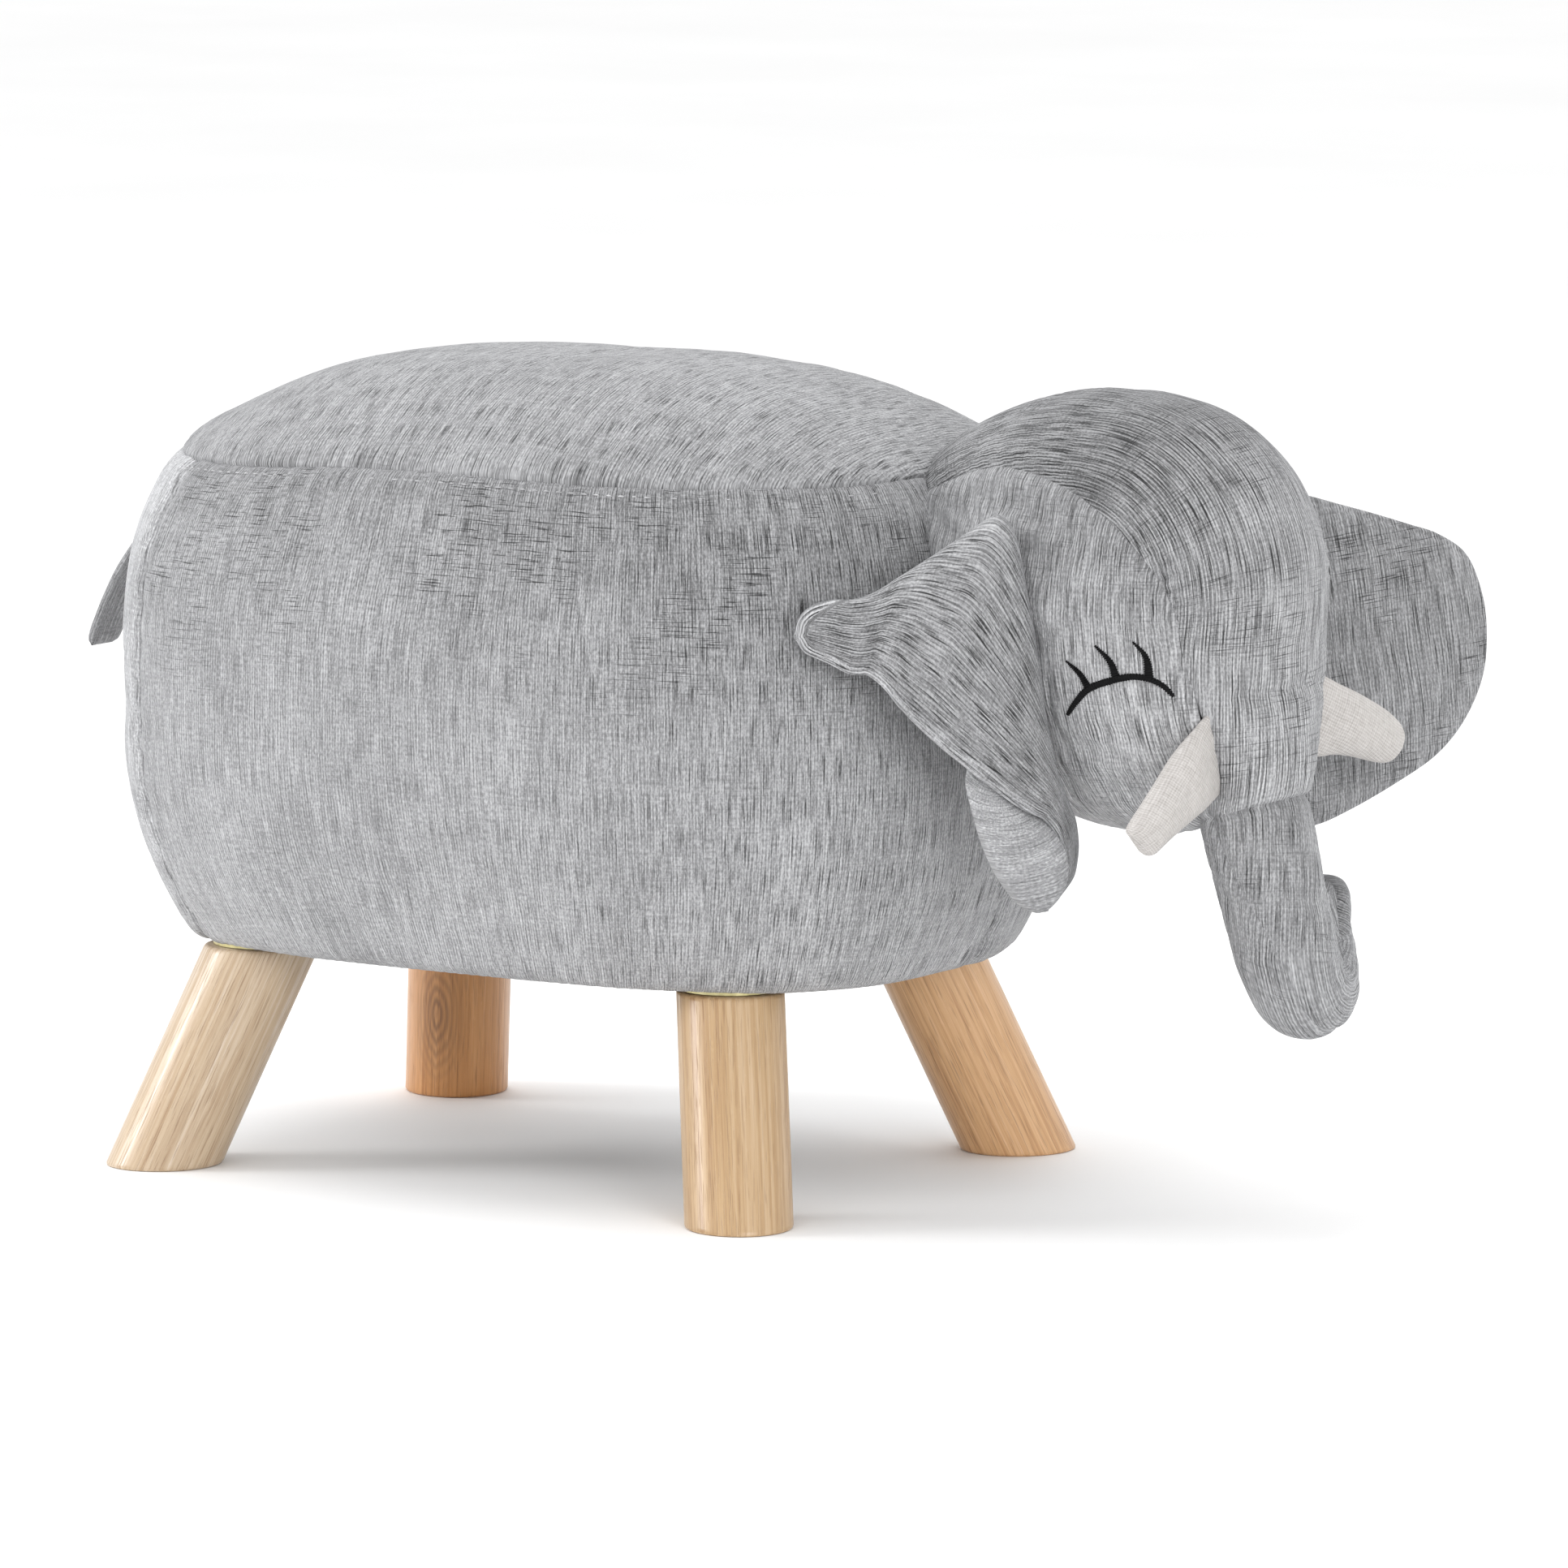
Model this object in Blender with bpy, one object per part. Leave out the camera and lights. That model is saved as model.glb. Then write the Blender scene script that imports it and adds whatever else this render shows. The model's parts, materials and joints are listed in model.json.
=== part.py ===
"""Child's stool in the shape of an elephant.

A crowned, upholstered seat on a plywood carcass stands on four splayed round legs.
The stuffed head, trunk, tusks, ears and tail are sewn to the cover.
+X is forward, +Y is the elephant's left, and the stool stands on Z = 0.
"""

import math

import bmesh
import bpy
from mathutils import Matrix, Vector

# Fits, in metres like every size below
CLEARANCE = 0.0003          # gap between neighbouring pieces
FILL_GAP = 0.0006           # gap between a cover and the filling under it
MERGE = 1e-7

# Body: a superellipse in plan, a barrel in side view
BODY_LENGTH = 0.407
BODY_WIDTH = 0.288
BODY_SQUARENESS = 3.0
BODY_FORWARD = 0.0035       # centre of the body ahead of the centre of the feet
UNDERSIDE_Z = 0.0965
WIDEST_Z = 0.199
SEAM_Z = 0.309              # seam between the seat and the sides
SEAM_INSET = 0.0234
SEAM_CURVE = 3.2
SEAM_DROOP = 0.006          # how far the seam falls towards the rear corners
UNDERSIDE_INSET = 0.0271
UNDERSIDE_CURVE = 2.35
EDGE_ROUND = 0.005
CROWN_HEIGHT = 0.0395
CROWN_CURVE = 3.0
BODY_SEGMENTS = 32
REAR_SEAM = 12              # segment of the rear corner seam, counted from the front

# Cover and carcass
COVER = 0.0018
HEM_WIDTH = 0.009
DUST_COVER = 0.0008
DUST_COVER_MARGIN = 0.004
BOARD = 0.012
DECK_TOP_Z = 0.262
CARCASS_MARGIN = 0.020      # from a leg's nut out to the edge of the deck
CARCASS_SQUARENESS = 4.0
RAIL_LENGTH = 0.150
END_BOARD_WIDTH = 0.096
RAIL_SETBACK = 0.004

# Screws between the boards
SCREW_DIAMETER = 0.004
SCREW_HEAD = 0.008
SCREW_LENGTH = 0.035
SCREW_HEAD_DEPTH = 0.003

# Legs and their fixings
LEG_MARGIN = 0.0044         # from the cover's hem to a leg's bolt
LEG_BEARING = math.radians(46.57)
LEG_SPLAY_LONG = math.radians(16.3)
LEG_SPLAY_WIDE = math.radians(21.4)
LEG_DIAMETER = 0.0456
LEG_EDGE = 0.0012
LEG_SEGMENTS = 28
BOLT_SEGMENTS = 12
LEG_PLATE_DIAMETER = 0.043
LEG_PLATE = 0.0015
BOLT_DIAMETER = 0.008
BOLT_IN_LEG = 0.028
BOLT_ABOVE_BOARD = 0.010
NUT_BARREL = 0.0104
NUT_BARREL_LENGTH = 0.008
NUT_FLANGE = 0.017
NUT_FLANGE_THICKNESS = 0.0014

# Head: its middle is this far ahead of the body's front
HEAD_AHEAD = 0.072
HEAD_RIGHT = 0.0093
HEAD_BELOW_SEAM = 0.0518
HEAD_TURN = math.radians(-12)
HEAD_TILT = math.radians(4)
HEAD_REACH = 0.0885
HEAD_CROWN = 0.091
HEAD_NECK = 0.137
HEAD_CHIN = 0.093
HEAD_WIDTH = 0.127
BROW_ROUND = 2.33
MUZZLE_ROUND = 3.2
NAPE_ROUND = 2.05
THROAT_ROUND = 2.1
HEAD_STEPS = 24
GUSSET_START = math.radians(-52)
GUSSET_ROWS = 14
GUSSET_COLUMNS = 4
CHEEK_ROWS = 4
GUSSET_HALF_WIDTHS = ((-67, 0.007), (-52, 0.021), (-10, 0.043), (45, 0.054), (95, 0.049), (158, 0.035))

# Trunk
TRUNK_FORWARD = 0.0625
TRUNK_DROP = 0.080
TRUNK_ROOT_RADIUS = 0.0252
TRUNK_SHAFT_RADIUS = 0.0228
TRUNK_TIP_RADIUS = 0.0155
TRUNK_SHAFT = 0.058
TRUNK_LEAN = math.radians(13)
TRUNK_CURL_RADIUS = 0.0225
TRUNK_CURL_TURN = math.radians(119)
TRUNK_TIP = 0.007
TRUNK_SWING = math.radians(22)
TRUNK_SEGMENTS = 14

# Ears, as a flat pattern: distance out from the hinge line and height along it
EAR_FORWARD = -0.006
EAR_DROP = 0.007
EAR_HINGE_GAP = 0.0045
EAR_LEAN = math.radians(-6)
EAR_ROOT_TOP = 0.056
EAR_ROOT_BOTTOM = -0.066
EAR_RIM = {
    "right": ((0.021, 0.050), (0.052, 0.037), (0.084, 0.031), (0.094, 0.021), (0.066, -0.004),
              (0.036, -0.044), (0.022, -0.066), (0.016, -0.090), (0.001, -0.104)),
    "left": ((0.034, 0.045), (0.066, 0.027), (0.100, 0.011), (0.114, -0.015), (0.110, -0.047),
             (0.090, -0.075), (0.056, -0.092), (0.023, -0.101)),
}
EAR_THICKNESS = {"right": 0.021, "left": 0.015}   # the right ear is folded on itself
EAR_ROOT_THICKNESS = 0.0042
EAR_RIM_THICKNESS = 0.0048
EAR_CLOTH = 0.0011
EAR_LINING = 0.94           # share of the pattern that the hollow for the wadding takes
EAR_SWEEP = {"right": math.radians(50), "left": math.radians(-20)}
EAR_TWIST = {"right": math.radians(-22), "left": 0.0}
EAR_ROWS = 6
EAR_COLUMNS = 16

# Tusks
TUSK_FORWARD = 0.057
TUSK_OUT = 0.030
TUSK_DROP = 0.049
TUSK_LENGTH = 0.057
TUSK_BASE_RADIUS = 0.0195
TUSK_TIP_RADIUS = 0.0105
TUSK_CLOTH = 0.0012
TUSK_DROOP = {"right": math.radians(32), "left": math.radians(13)}
TUSK_AHEAD = math.radians(8)

# Closed eyes: forward and upward places on the cheek
EYE_LID = ((0.012, -0.033), (0.022, -0.0225), (0.037, -0.0165), (0.0485, -0.018), (0.057, -0.0245))
EYE_LASHES = (((0.022, -0.0225), (0.0150, -0.0105)), ((0.037, -0.0165), (0.0285, -0.0025)),
              ((0.0485, -0.018), (0.0450, -0.0010)))
EYE_THREAD = 0.0009
EYE_LID_WIDTH = 0.0032
EYE_LASH_WIDTH = 0.0030

# Tail: a flat strip that hangs in an arc
TAIL_BELOW_SEAM = 0.032
TAIL_WIDTH = 0.021
TAIL_THICKNESS = 0.006
TAIL_BACK = 0.064
TAIL_FALL = 0.072
TAIL_ROWS = 8

FINISHES = {
    "chenille": ((0.42, 0.42, 0.43), 0.85, 0.0),
    "linen": ((0.72, 0.68, 0.62), 0.9, 0.0),
    "thread": ((0.015, 0.015, 0.017), 0.5, 0.0),
    "rubberwood": ((0.66, 0.47, 0.29), 0.5, 0.0),
    "plywood": ((0.62, 0.50, 0.35), 0.7, 0.0),
    "foam": ((0.83, 0.80, 0.66), 0.95, 0.0),
    "fibre": ((0.88, 0.88, 0.86), 0.95, 0.0),
    "nonwoven": ((0.03, 0.03, 0.03), 0.9, 0.0),
    "zinc": ((0.62, 0.55, 0.25), 0.35, 1.0),
    "steel": ((0.55, 0.56, 0.57), 0.35, 1.0),
}


def clear_scene():
    for obj in list(bpy.data.objects):
        bpy.data.objects.remove(obj, do_unlink=True)


def add_empty(name, parent=None, location=(0, 0, 0), rotation=None):
    obj = bpy.data.objects.new(name, None)
    bpy.context.collection.objects.link(obj)
    obj.parent = parent
    obj.location = location
    if rotation is not None:
        obj.rotation_euler = rotation.to_euler()
    return obj


def add_material(name, finish):
    colour, roughness, metallic = FINISHES[finish]
    material = bpy.data.materials.new(name)
    material.use_nodes = True
    shader = material.node_tree.nodes["Principled BSDF"]
    shader.inputs["Base Color"].default_value = (*colour, 1)
    shader.inputs["Roughness"].default_value = roughness
    shader.inputs["Metallic"].default_value = metallic
    return material


def add_solid(name, points, faces, finish, parent):
    """One closed piece from points and faces. Points that coincide become one."""
    bm = bmesh.new()
    verts = [bm.verts.new(point) for point in points]
    for face in faces:
        bm.faces.new([verts[i] for i in face])
    bmesh.ops.remove_doubles(bm, verts=bm.verts, dist=MERGE)
    bmesh.ops.dissolve_degenerate(bm, dist=MERGE, edges=bm.edges)
    bmesh.ops.recalc_face_normals(bm, faces=bm.faces)
    mesh = bpy.data.meshes.new(name)
    bm.to_mesh(mesh)
    bm.free()
    mesh.shade_smooth()
    mesh.set_sharp_from_angle(angle=math.radians(40))
    obj = bpy.data.objects.new(name, mesh)
    bpy.context.collection.objects.link(obj)
    obj.parent = parent
    if finish is not None:
        mesh.materials.append(add_material(name, finish))
    return obj


def grid_faces(rows, columns, wrap, index):
    """Triangles over a grid, every cell split the same way."""
    faces = []
    for r in range(rows - 1):
        for c in range(columns if wrap else columns - 1):
            a, b = index(r, c), index(r, (c + 1) % columns)
            d, e = index(r + 1, c), index(r + 1, (c + 1) % columns)
            faces += [(a, b, e), (a, e, d)]
    return faces


def add_skin(name, outer, inner, finish, parent, wrap=False):
    """A sheet with thickness, between two grids of points."""
    rows, columns = len(outer), len(outer[0])
    points = [point for grid in (outer, inner) for row in grid for point in row]

    def outside(r, c):
        return r * columns + c

    def inside(r, c):
        return (rows + r) * columns + c

    faces = grid_faces(rows, columns, wrap, outside)
    faces += [face[::-1] for face in grid_faces(rows, columns, wrap, inside)]
    edge = [(r, c) for r in (0, rows - 1) for c in range(columns)]
    for r, c in edge:
        if wrap or c < columns - 1:
            n = (c + 1) % columns
            quad = (outside(r, c), outside(r, n), inside(r, n), inside(r, c))
            faces.append(quad if r else quad[::-1])
    if not wrap:
        for c in (0, columns - 1):
            for r in range(rows - 1):
                quad = (outside(r, c), outside(r + 1, c), inside(r + 1, c), inside(r, c))
                faces.append(quad[::-1] if c else quad)
    return add_solid(name, points, faces, finish, parent)


def add_loft(name, rings, finish, parent):
    """A solid through closed rings, capped at both ends."""
    count = len(rings[0])
    points = [point for ring in rings for point in ring]
    faces = grid_faces(len(rings), count, True, lambda r, c: r * count + c)
    for ring, start in ((rings[0], 0), (rings[-1], (len(rings) - 1) * count)):
        if max((Vector(p) - Vector(ring[0])).length for p in ring) > MERGE:
            faces.append(tuple(range(start, start + count)))
    return add_solid(name, points, faces, finish, parent)


def add_ring(name, outer, inner, finish, parent):
    """A closed band round a hole: outer and inner are lists of rings from bottom to top."""
    loop = outer + inner[::-1]
    count = len(loop[0])
    points = [point for ring in loop for point in ring]
    faces = grid_faces(len(loop), count, True, lambda r, c: r * count + c)
    last = (len(loop) - 1) * count
    for c in range(count):
        n = (c + 1) % count
        faces += [(last + c, last + n, n), (last + c, n, c)]
    return add_solid(name, points, faces, finish, parent)


def circle(radius, z, segments, centre=(0, 0)):
    steps = (2 * math.pi * i / segments for i in range(segments))
    return [(centre[0] + radius * math.cos(a), centre[1] + radius * math.sin(a), z) for a in steps]


def add_turned(name, profile, segments, finish, parent, location=(0, 0, 0)):
    """A turned piece with a vertical axis: profile holds (radius, height) from bottom to top."""
    obj = add_loft(name, [circle(r, z, segments) for r, z in profile], finish, parent)
    obj.location = location
    return obj


def add_cutter(obj):
    obj.hide_render = True
    obj.display_type = "WIRE"
    return obj


def cut(obj, cutter):
    modifier = obj.modifiers.new("cut " + cutter.name, "BOOLEAN")
    modifier.operation = "DIFFERENCE"
    modifier.solver = "EXACT"
    modifier.object = cutter


def join(obj, other):
    modifier = obj.modifiers.new("join " + other.name, "BOOLEAN")
    modifier.operation = "UNION"
    modifier.solver = "EXACT"
    modifier.object = other


def smooth_step(value):
    value = min(max(value, 0.0), 1.0)
    return value * value * (3 - 2 * value)


def along(points, share):
    """A point on the smooth curve through the given points, share running from 0 to 1."""
    spans = len(points) - 1
    i = min(int(share * spans), spans - 1)
    t = share * spans - i
    p1, p2 = Vector(points[i]), Vector(points[i + 1])
    p0 = Vector(points[i - 1]) if i else 2 * p1 - p2
    p3 = Vector(points[i + 2]) if i + 2 <= spans else 2 * p2 - p1
    return 0.5 * (2 * p1 + (p2 - p0) * t + (2 * p0 - 5 * p1 + 4 * p2 - p3) * t ** 2
                  + (3 * p1 - p0 - 3 * p2 + p3) * t ** 3)


# Heights that follow from the sizes above

DUST_TOP_Z = UNDERSIDE_Z - CLEARANCE
PLATE_TOP_Z = DUST_TOP_Z - DUST_COVER - CLEARANCE
LEG_TOP_Z = PLATE_TOP_Z - LEG_PLATE - CLEARANCE
BOLT_HOLE_RADIUS = BOLT_DIAMETER / 2 + CLEARANCE
NUT_HOLE_RADIUS = NUT_BARREL / 2 + CLEARANCE
BASE_BOTTOM_Z = UNDERSIDE_Z + COVER + CLEARANCE
BASE_TOP_Z = BASE_BOTTOM_Z + BOARD
HEAD_Z = SEAM_Z - HEAD_BELOW_SEAM
TAIL_Z = SEAM_Z - TAIL_BELOW_SEAM

# Body shape

BODY_ANGLES = [2 * math.pi * i / BODY_SEGMENTS for i in range(BODY_SEGMENTS)]
SEAM_ANGLE = 2 * CLEARANCE / BODY_LENGTH
EDGE_LEVELS = (0.0, 0.12, 0.4)
SIDE_LEVELS = ([UNDERSIDE_Z + share * (BASE_TOP_Z - UNDERSIDE_Z) for share in EDGE_LEVELS]
               + [BASE_TOP_Z + i / 5 * (DECK_TOP_Z - BASE_TOP_Z) for i in range(5)]
               + [DECK_TOP_Z + i / 3 * (SEAM_Z - DECK_TOP_Z) for i in range(4)])
BASE_LEVEL = len(EDGE_LEVELS)
DECK_LEVEL = BASE_LEVEL + 5
CROWN_SHARES = (1.0, 0.9, 0.74, 0.5, 0.25, 0.0)


def plan_point(angle, length, width, squareness):
    c, s = math.cos(angle), math.sin(angle)
    reach = (abs(c) ** squareness + abs(s) ** squareness) ** (-1 / squareness)
    return BODY_FORWARD + length / 2 * reach * c, width / 2 * reach * s


LEG_INSET = UNDERSIDE_INSET + EDGE_ROUND + HEM_WIDTH + BOLT_DIAMETER / 2 + LEG_MARGIN
LEG_TOP_X, LEG_TOP_Y = plan_point(LEG_BEARING, BODY_LENGTH - 2 * LEG_INSET, BODY_WIDTH - 2 * LEG_INSET,
                                  BODY_SQUARENESS)
LEG_TOP_X -= BODY_FORWARD
FOOT_X = LEG_TOP_X + LEG_TOP_Z * math.tan(LEG_SPLAY_LONG)
FOOT_Y = LEG_TOP_Y + LEG_TOP_Z * math.tan(LEG_SPLAY_WIDE)
CARCASS_LENGTH = 2 * (LEG_TOP_X + BODY_FORWARD + NUT_FLANGE / 2 + CARCASS_MARGIN)
CARCASS_WIDTH = 2 * (LEG_TOP_Y + NUT_FLANGE / 2 + CARCASS_MARGIN)


def plan_ring(length, width, squareness, z):
    return [(*plan_point(a, length, width, squareness), z) for a in BODY_ANGLES]


def side_inset(z):
    if z > WIDEST_Z:
        return SEAM_INSET * ((z - WIDEST_Z) / (SEAM_Z - WIDEST_Z)) ** SEAM_CURVE
    inset = UNDERSIDE_INSET * ((WIDEST_Z - z) / (WIDEST_Z - UNDERSIDE_Z)) ** UNDERSIDE_CURVE
    corner = max(EDGE_ROUND - (z - UNDERSIDE_Z), 0.0)
    return inset + EDGE_ROUND - math.sqrt(EDGE_ROUND ** 2 - corner ** 2)


def seam_droop(angle):
    return SEAM_DROOP * math.sin(2 * angle) ** 2 * (1 - math.cos(angle)) / 2


def side_point(angle, z, depth, more_inset=0.0):
    """A point on the body's side, depth metres under the cover's outer face."""
    inset = side_inset(z) + depth + more_inset
    if z < BASE_TOP_Z:
        z += depth * (BASE_TOP_Z - z) / (BASE_TOP_Z - UNDERSIDE_Z)
    elif z > DECK_TOP_Z:
        share = (z - DECK_TOP_Z) / (SEAM_Z - DECK_TOP_Z)
        z -= share * (depth + seam_droop(angle))
    x, y = plan_point(angle, BODY_LENGTH - 2 * inset, BODY_WIDTH - 2 * inset, BODY_SQUARENESS)
    return x, y, z


def crown_point(angle, share, depth):
    """A point on the crowned seat: share is 1 at the seam and 0 at the middle."""
    inset = SEAM_INSET + depth
    x, y = plan_point(angle, (BODY_LENGTH - 2 * inset) * share, (BODY_WIDTH - 2 * inset) * share,
                      BODY_SQUARENESS)
    z = SEAM_Z - depth - seam_droop(angle) * share ** 2 + CROWN_HEIGHT * (1 - share ** CROWN_CURVE)
    return x, y, z


def body_rings(depth, from_level=0, lift=0.0):
    """Rings round the body from a level of its side up to the middle of the crown."""
    rings = [[side_point(a, z, depth) for a in BODY_ANGLES] for z in SIDE_LEVELS[from_level:]]
    rings += [[crown_point(a, share, depth) for a in BODY_ANGLES] for share in CROWN_SHARES[1:]]
    rings[0] = [(x, y, z + lift) for x, y, z in rings[0]]
    return rings


def add_side_cover(name, first, last, parent):
    """A panel of the side between two of the body's segments, hemmed under the base board."""
    angles = [2 * math.pi * i / BODY_SEGMENTS for i in range(first, last + 1)]
    angles[0] += SEAM_ANGLE
    angles[-1] -= SEAM_ANGLE

    def sheet(depth):
        hem = [side_point(a, UNDERSIDE_Z, depth, HEM_WIDTH) for a in angles]
        return [hem] + [[side_point(a, z, depth) for a in angles] for z in SIDE_LEVELS]

    return add_skin(name, sheet(0.0), sheet(COVER), "chenille", parent)


def build_covers(root):
    def seat(depth):
        rows = [[crown_point(a, share, depth) for a in BODY_ANGLES] for share in CROWN_SHARES]
        return [[(x, y, z + 2 * CLEARANCE) for x, y, z in row] for row in rows]

    add_skin("seat_cover", seat(0.0), seat(COVER), "chenille", root, wrap=True)
    add_side_cover("left_side_cover", 0, REAR_SEAM, root)
    add_side_cover("rear_cover", REAR_SEAM, BODY_SEGMENTS - REAR_SEAM, root)
    add_side_cover("right_side_cover", BODY_SEGMENTS - REAR_SEAM, BODY_SEGMENTS, root)


def build_foam(root):
    depth = COVER + FILL_GAP
    add_loft("seat_foam", body_rings(depth, DECK_LEVEL, CLEARANCE), "foam", root)
    levels = SIDE_LEVELS[BASE_LEVEL:DECK_LEVEL + 1]
    outer = [[side_point(a, z, depth) for a in BODY_ANGLES] for z in levels]
    outer[0] = [(x, y, z + CLEARANCE) for x, y, z in outer[0]]
    inner = [plan_ring(CARCASS_LENGTH, CARCASS_WIDTH, CARCASS_SQUARENESS, z)
             for z in (BASE_TOP_Z + CLEARANCE, DECK_TOP_Z)]
    add_ring("foam_wrap", outer, inner, "foam", root)


# Carcass

def leg_tops():
    """Side signs and the middle of each leg's top, front right first."""
    for end, x_sign in (("front", 1), ("rear", -1)):
        for side, y_sign in (("right", -1), ("left", 1)):
            yield f"{end}_{side}", x_sign, y_sign, x_sign * LEG_TOP_X, y_sign * LEG_TOP_Y


def add_box(name, centre, size, finish, parent):
    half = [side / 2 for side in size]
    ring = [(-half[0], -half[1]), (half[0], -half[1]), (half[0], half[1]), (-half[0], half[1])]
    rings = [[(x, y, z) for x, y in ring] for z in (-half[2], half[2])]
    obj = add_loft(name, rings, finish, parent)
    obj.location = centre
    return obj


def add_screw(name, x, y, head_z, parent, boards, upwards):
    """A countersunk screw whose head is flush at head_z, and its hole in each board."""
    head, shank, way = SCREW_HEAD / 2, SCREW_DIAMETER / 2, 1 if upwards else -1

    def profile(gap):
        rows = [(head + gap, -gap), (shank + gap, SCREW_HEAD_DEPTH), (shank + gap, SCREW_LENGTH + gap)]
        return rows if upwards else [(r, -z) for r, z in rows[::-1]]

    add_turned(name, profile(0.0), BOLT_SEGMENTS, "steel", parent, (x, y, head_z + way * CLEARANCE))
    hole = add_turned(name + "_hole", profile(2 * CLEARANCE), BOLT_SEGMENTS, None, parent, (x, y, head_z))
    add_cutter(hole)
    for board in boards:
        cut(board, hole)


def build_carcass(root):
    inset = 2 * (UNDERSIDE_INSET + EDGE_ROUND + COVER + FILL_GAP)
    base = add_loft("base_board", [plan_ring(BODY_LENGTH - inset, BODY_WIDTH - inset, BODY_SQUARENESS, z)
                                   for z in (BASE_BOTTOM_Z, BASE_TOP_Z)], "plywood", root)
    deck_bottom = DECK_TOP_Z - BOARD
    deck = add_loft("seat_deck", [plan_ring(CARCASS_LENGTH - 2 * CLEARANCE, CARCASS_WIDTH - 2 * CLEARANCE,
                                            CARCASS_SQUARENESS, z) for z in (deck_bottom, DECK_TOP_Z)],
                    "plywood", root)
    low, high = BASE_TOP_Z + CLEARANCE, deck_bottom - CLEARANCE
    middle, height = (low + high) / 2, high - low
    side_y = CARCASS_WIDTH / 2 - RAIL_SETBACK - BOARD / 2
    end_x = CARCASS_LENGTH / 2 - RAIL_SETBACK - BOARD / 2
    uprights = []
    for side, sign in (("right", -1), ("left", 1)):
        rail = add_box(f"{side}_rail", (BODY_FORWARD, sign * side_y, middle), (RAIL_LENGTH, BOARD, height),
                       "plywood", root)
        uprights.append((side, BODY_FORWARD, sign * side_y, rail))
    for end, sign in (("front", 1), ("rear", -1)):
        x = BODY_FORWARD + sign * end_x
        board = add_box(f"{end}_board", (x, 0, middle), (BOARD, END_BOARD_WIDTH, height), "plywood", root)
        uprights.append((end, x, 0, board))
    for where, x, y, upright in uprights:
        add_screw(f"{where}_deck_screw", x, y, DECK_TOP_Z, root, (deck, upright), False)
        add_screw(f"{where}_base_screw", x, y, BASE_BOTTOM_Z, root, (base, upright), True)
    margin = 2 * (UNDERSIDE_INSET + EDGE_ROUND + DUST_COVER_MARGIN)
    dust = add_loft("dust_cover", [plan_ring(BODY_LENGTH - margin, BODY_WIDTH - margin, BODY_SQUARENESS, z)
                                   for z in (DUST_TOP_Z - DUST_COVER, DUST_TOP_Z)], "nonwoven", root)
    return base, dust


# Legs

def leg_ring(x_sign, y_sign, z, radius):
    """The level section of a leaning round leg, about the middle of its foot."""
    axis = Vector((-x_sign * math.tan(LEG_SPLAY_LONG), -y_sign * math.tan(LEG_SPLAY_WIDE), 1)).normalized()
    across = axis.cross((0, 0, 1)).normalized()
    other = axis.cross(across)
    ring = []
    for i in range(LEG_SEGMENTS):
        a = 2 * math.pi * i / LEG_SEGMENTS
        rim = radius * (math.cos(a) * across + math.sin(a) * other)
        ring.append(rim + axis * ((z - rim.z) / axis.z))
    return ring


def build_legs(root, base, dust):
    radius, edge = LEG_DIAMETER / 2, LEG_EDGE
    nut_top = BASE_TOP_Z + CLEARANCE + NUT_FLANGE_THICKNESS
    for name, x_sign, y_sign, x, y in leg_tops():
        foot = (x_sign * FOOT_X, y_sign * FOOT_Y, 0)
        heights = ((0, radius - edge), (edge, radius), (LEG_TOP_Z - edge, radius), (LEG_TOP_Z, radius - edge))
        rings = [leg_ring(x_sign, y_sign, z, r) for z, r in heights]
        leg = add_loft(f"{name}_leg", rings, "rubberwood", root)
        leg.location = foot
        plate_rings = [circle(LEG_PLATE_DIAMETER / 2, z, LEG_SEGMENTS)
                       for z in (PLATE_TOP_Z - LEG_PLATE, PLATE_TOP_Z)]
        plate = add_loft(f"{name}_leg_plate", plate_rings, "zinc", root)
        plate.location = (x, y, 0)
        bolt = BOLT_DIAMETER / 2
        low, high = LEG_TOP_Z - BOLT_IN_LEG, BASE_TOP_Z + BOLT_ABOVE_BOARD
        add_turned(f"{name}_hanger_bolt", [(bolt / 2, low), (bolt, low + bolt), (bolt, high - bolt / 4),
                                           (bolt * 0.75, high)], BOLT_SEGMENTS, "steel", root, (x, y, 0))
        profile = [(BOLT_HOLE_RADIUS, low - CLEARANCE), (BOLT_HOLE_RADIUS, UNDERSIDE_Z + COVER)]
        hole = add_turned(f"{name}_bolt_hole", profile, BOLT_SEGMENTS, None, root, (x, y, 0))
        add_cutter(hole)
        for piece in (leg, plate, dust):
            cut(piece, hole)
        profile = [(NUT_HOLE_RADIUS, UNDERSIDE_Z), (NUT_HOLE_RADIUS, nut_top)]
        nut_hole = add_turned(f"{name}_nut_hole", profile, BOLT_SEGMENTS, None, root, (x, y, 0))
        add_cutter(nut_hole)
        cut(base, nut_hole)
        flange_z = BASE_TOP_Z + CLEARANCE
        barrel_z = flange_z - NUT_BARREL_LENGTH
        barrel, flange = NUT_BARREL / 2, NUT_FLANGE / 2
        profile = [(barrel, barrel_z), (barrel, flange_z), (flange, flange_z), (flange, nut_top)]
        outer = [circle(r, z, BOLT_SEGMENTS) for r, z in profile]
        inner = [circle(BOLT_HOLE_RADIUS, z, BOLT_SEGMENTS) for z in (barrel_z, nut_top)]
        nut = add_ring(f"{name}_tee_nut", outer, inner, "zinc", root)
        nut.location = (x, y, 0)


# Head, in its own frame: x forward, y left, z up

HEAD_ANGLES = [GUSSET_START + 2 * math.pi * i / HEAD_STEPS for i in range(HEAD_STEPS)]


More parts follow.
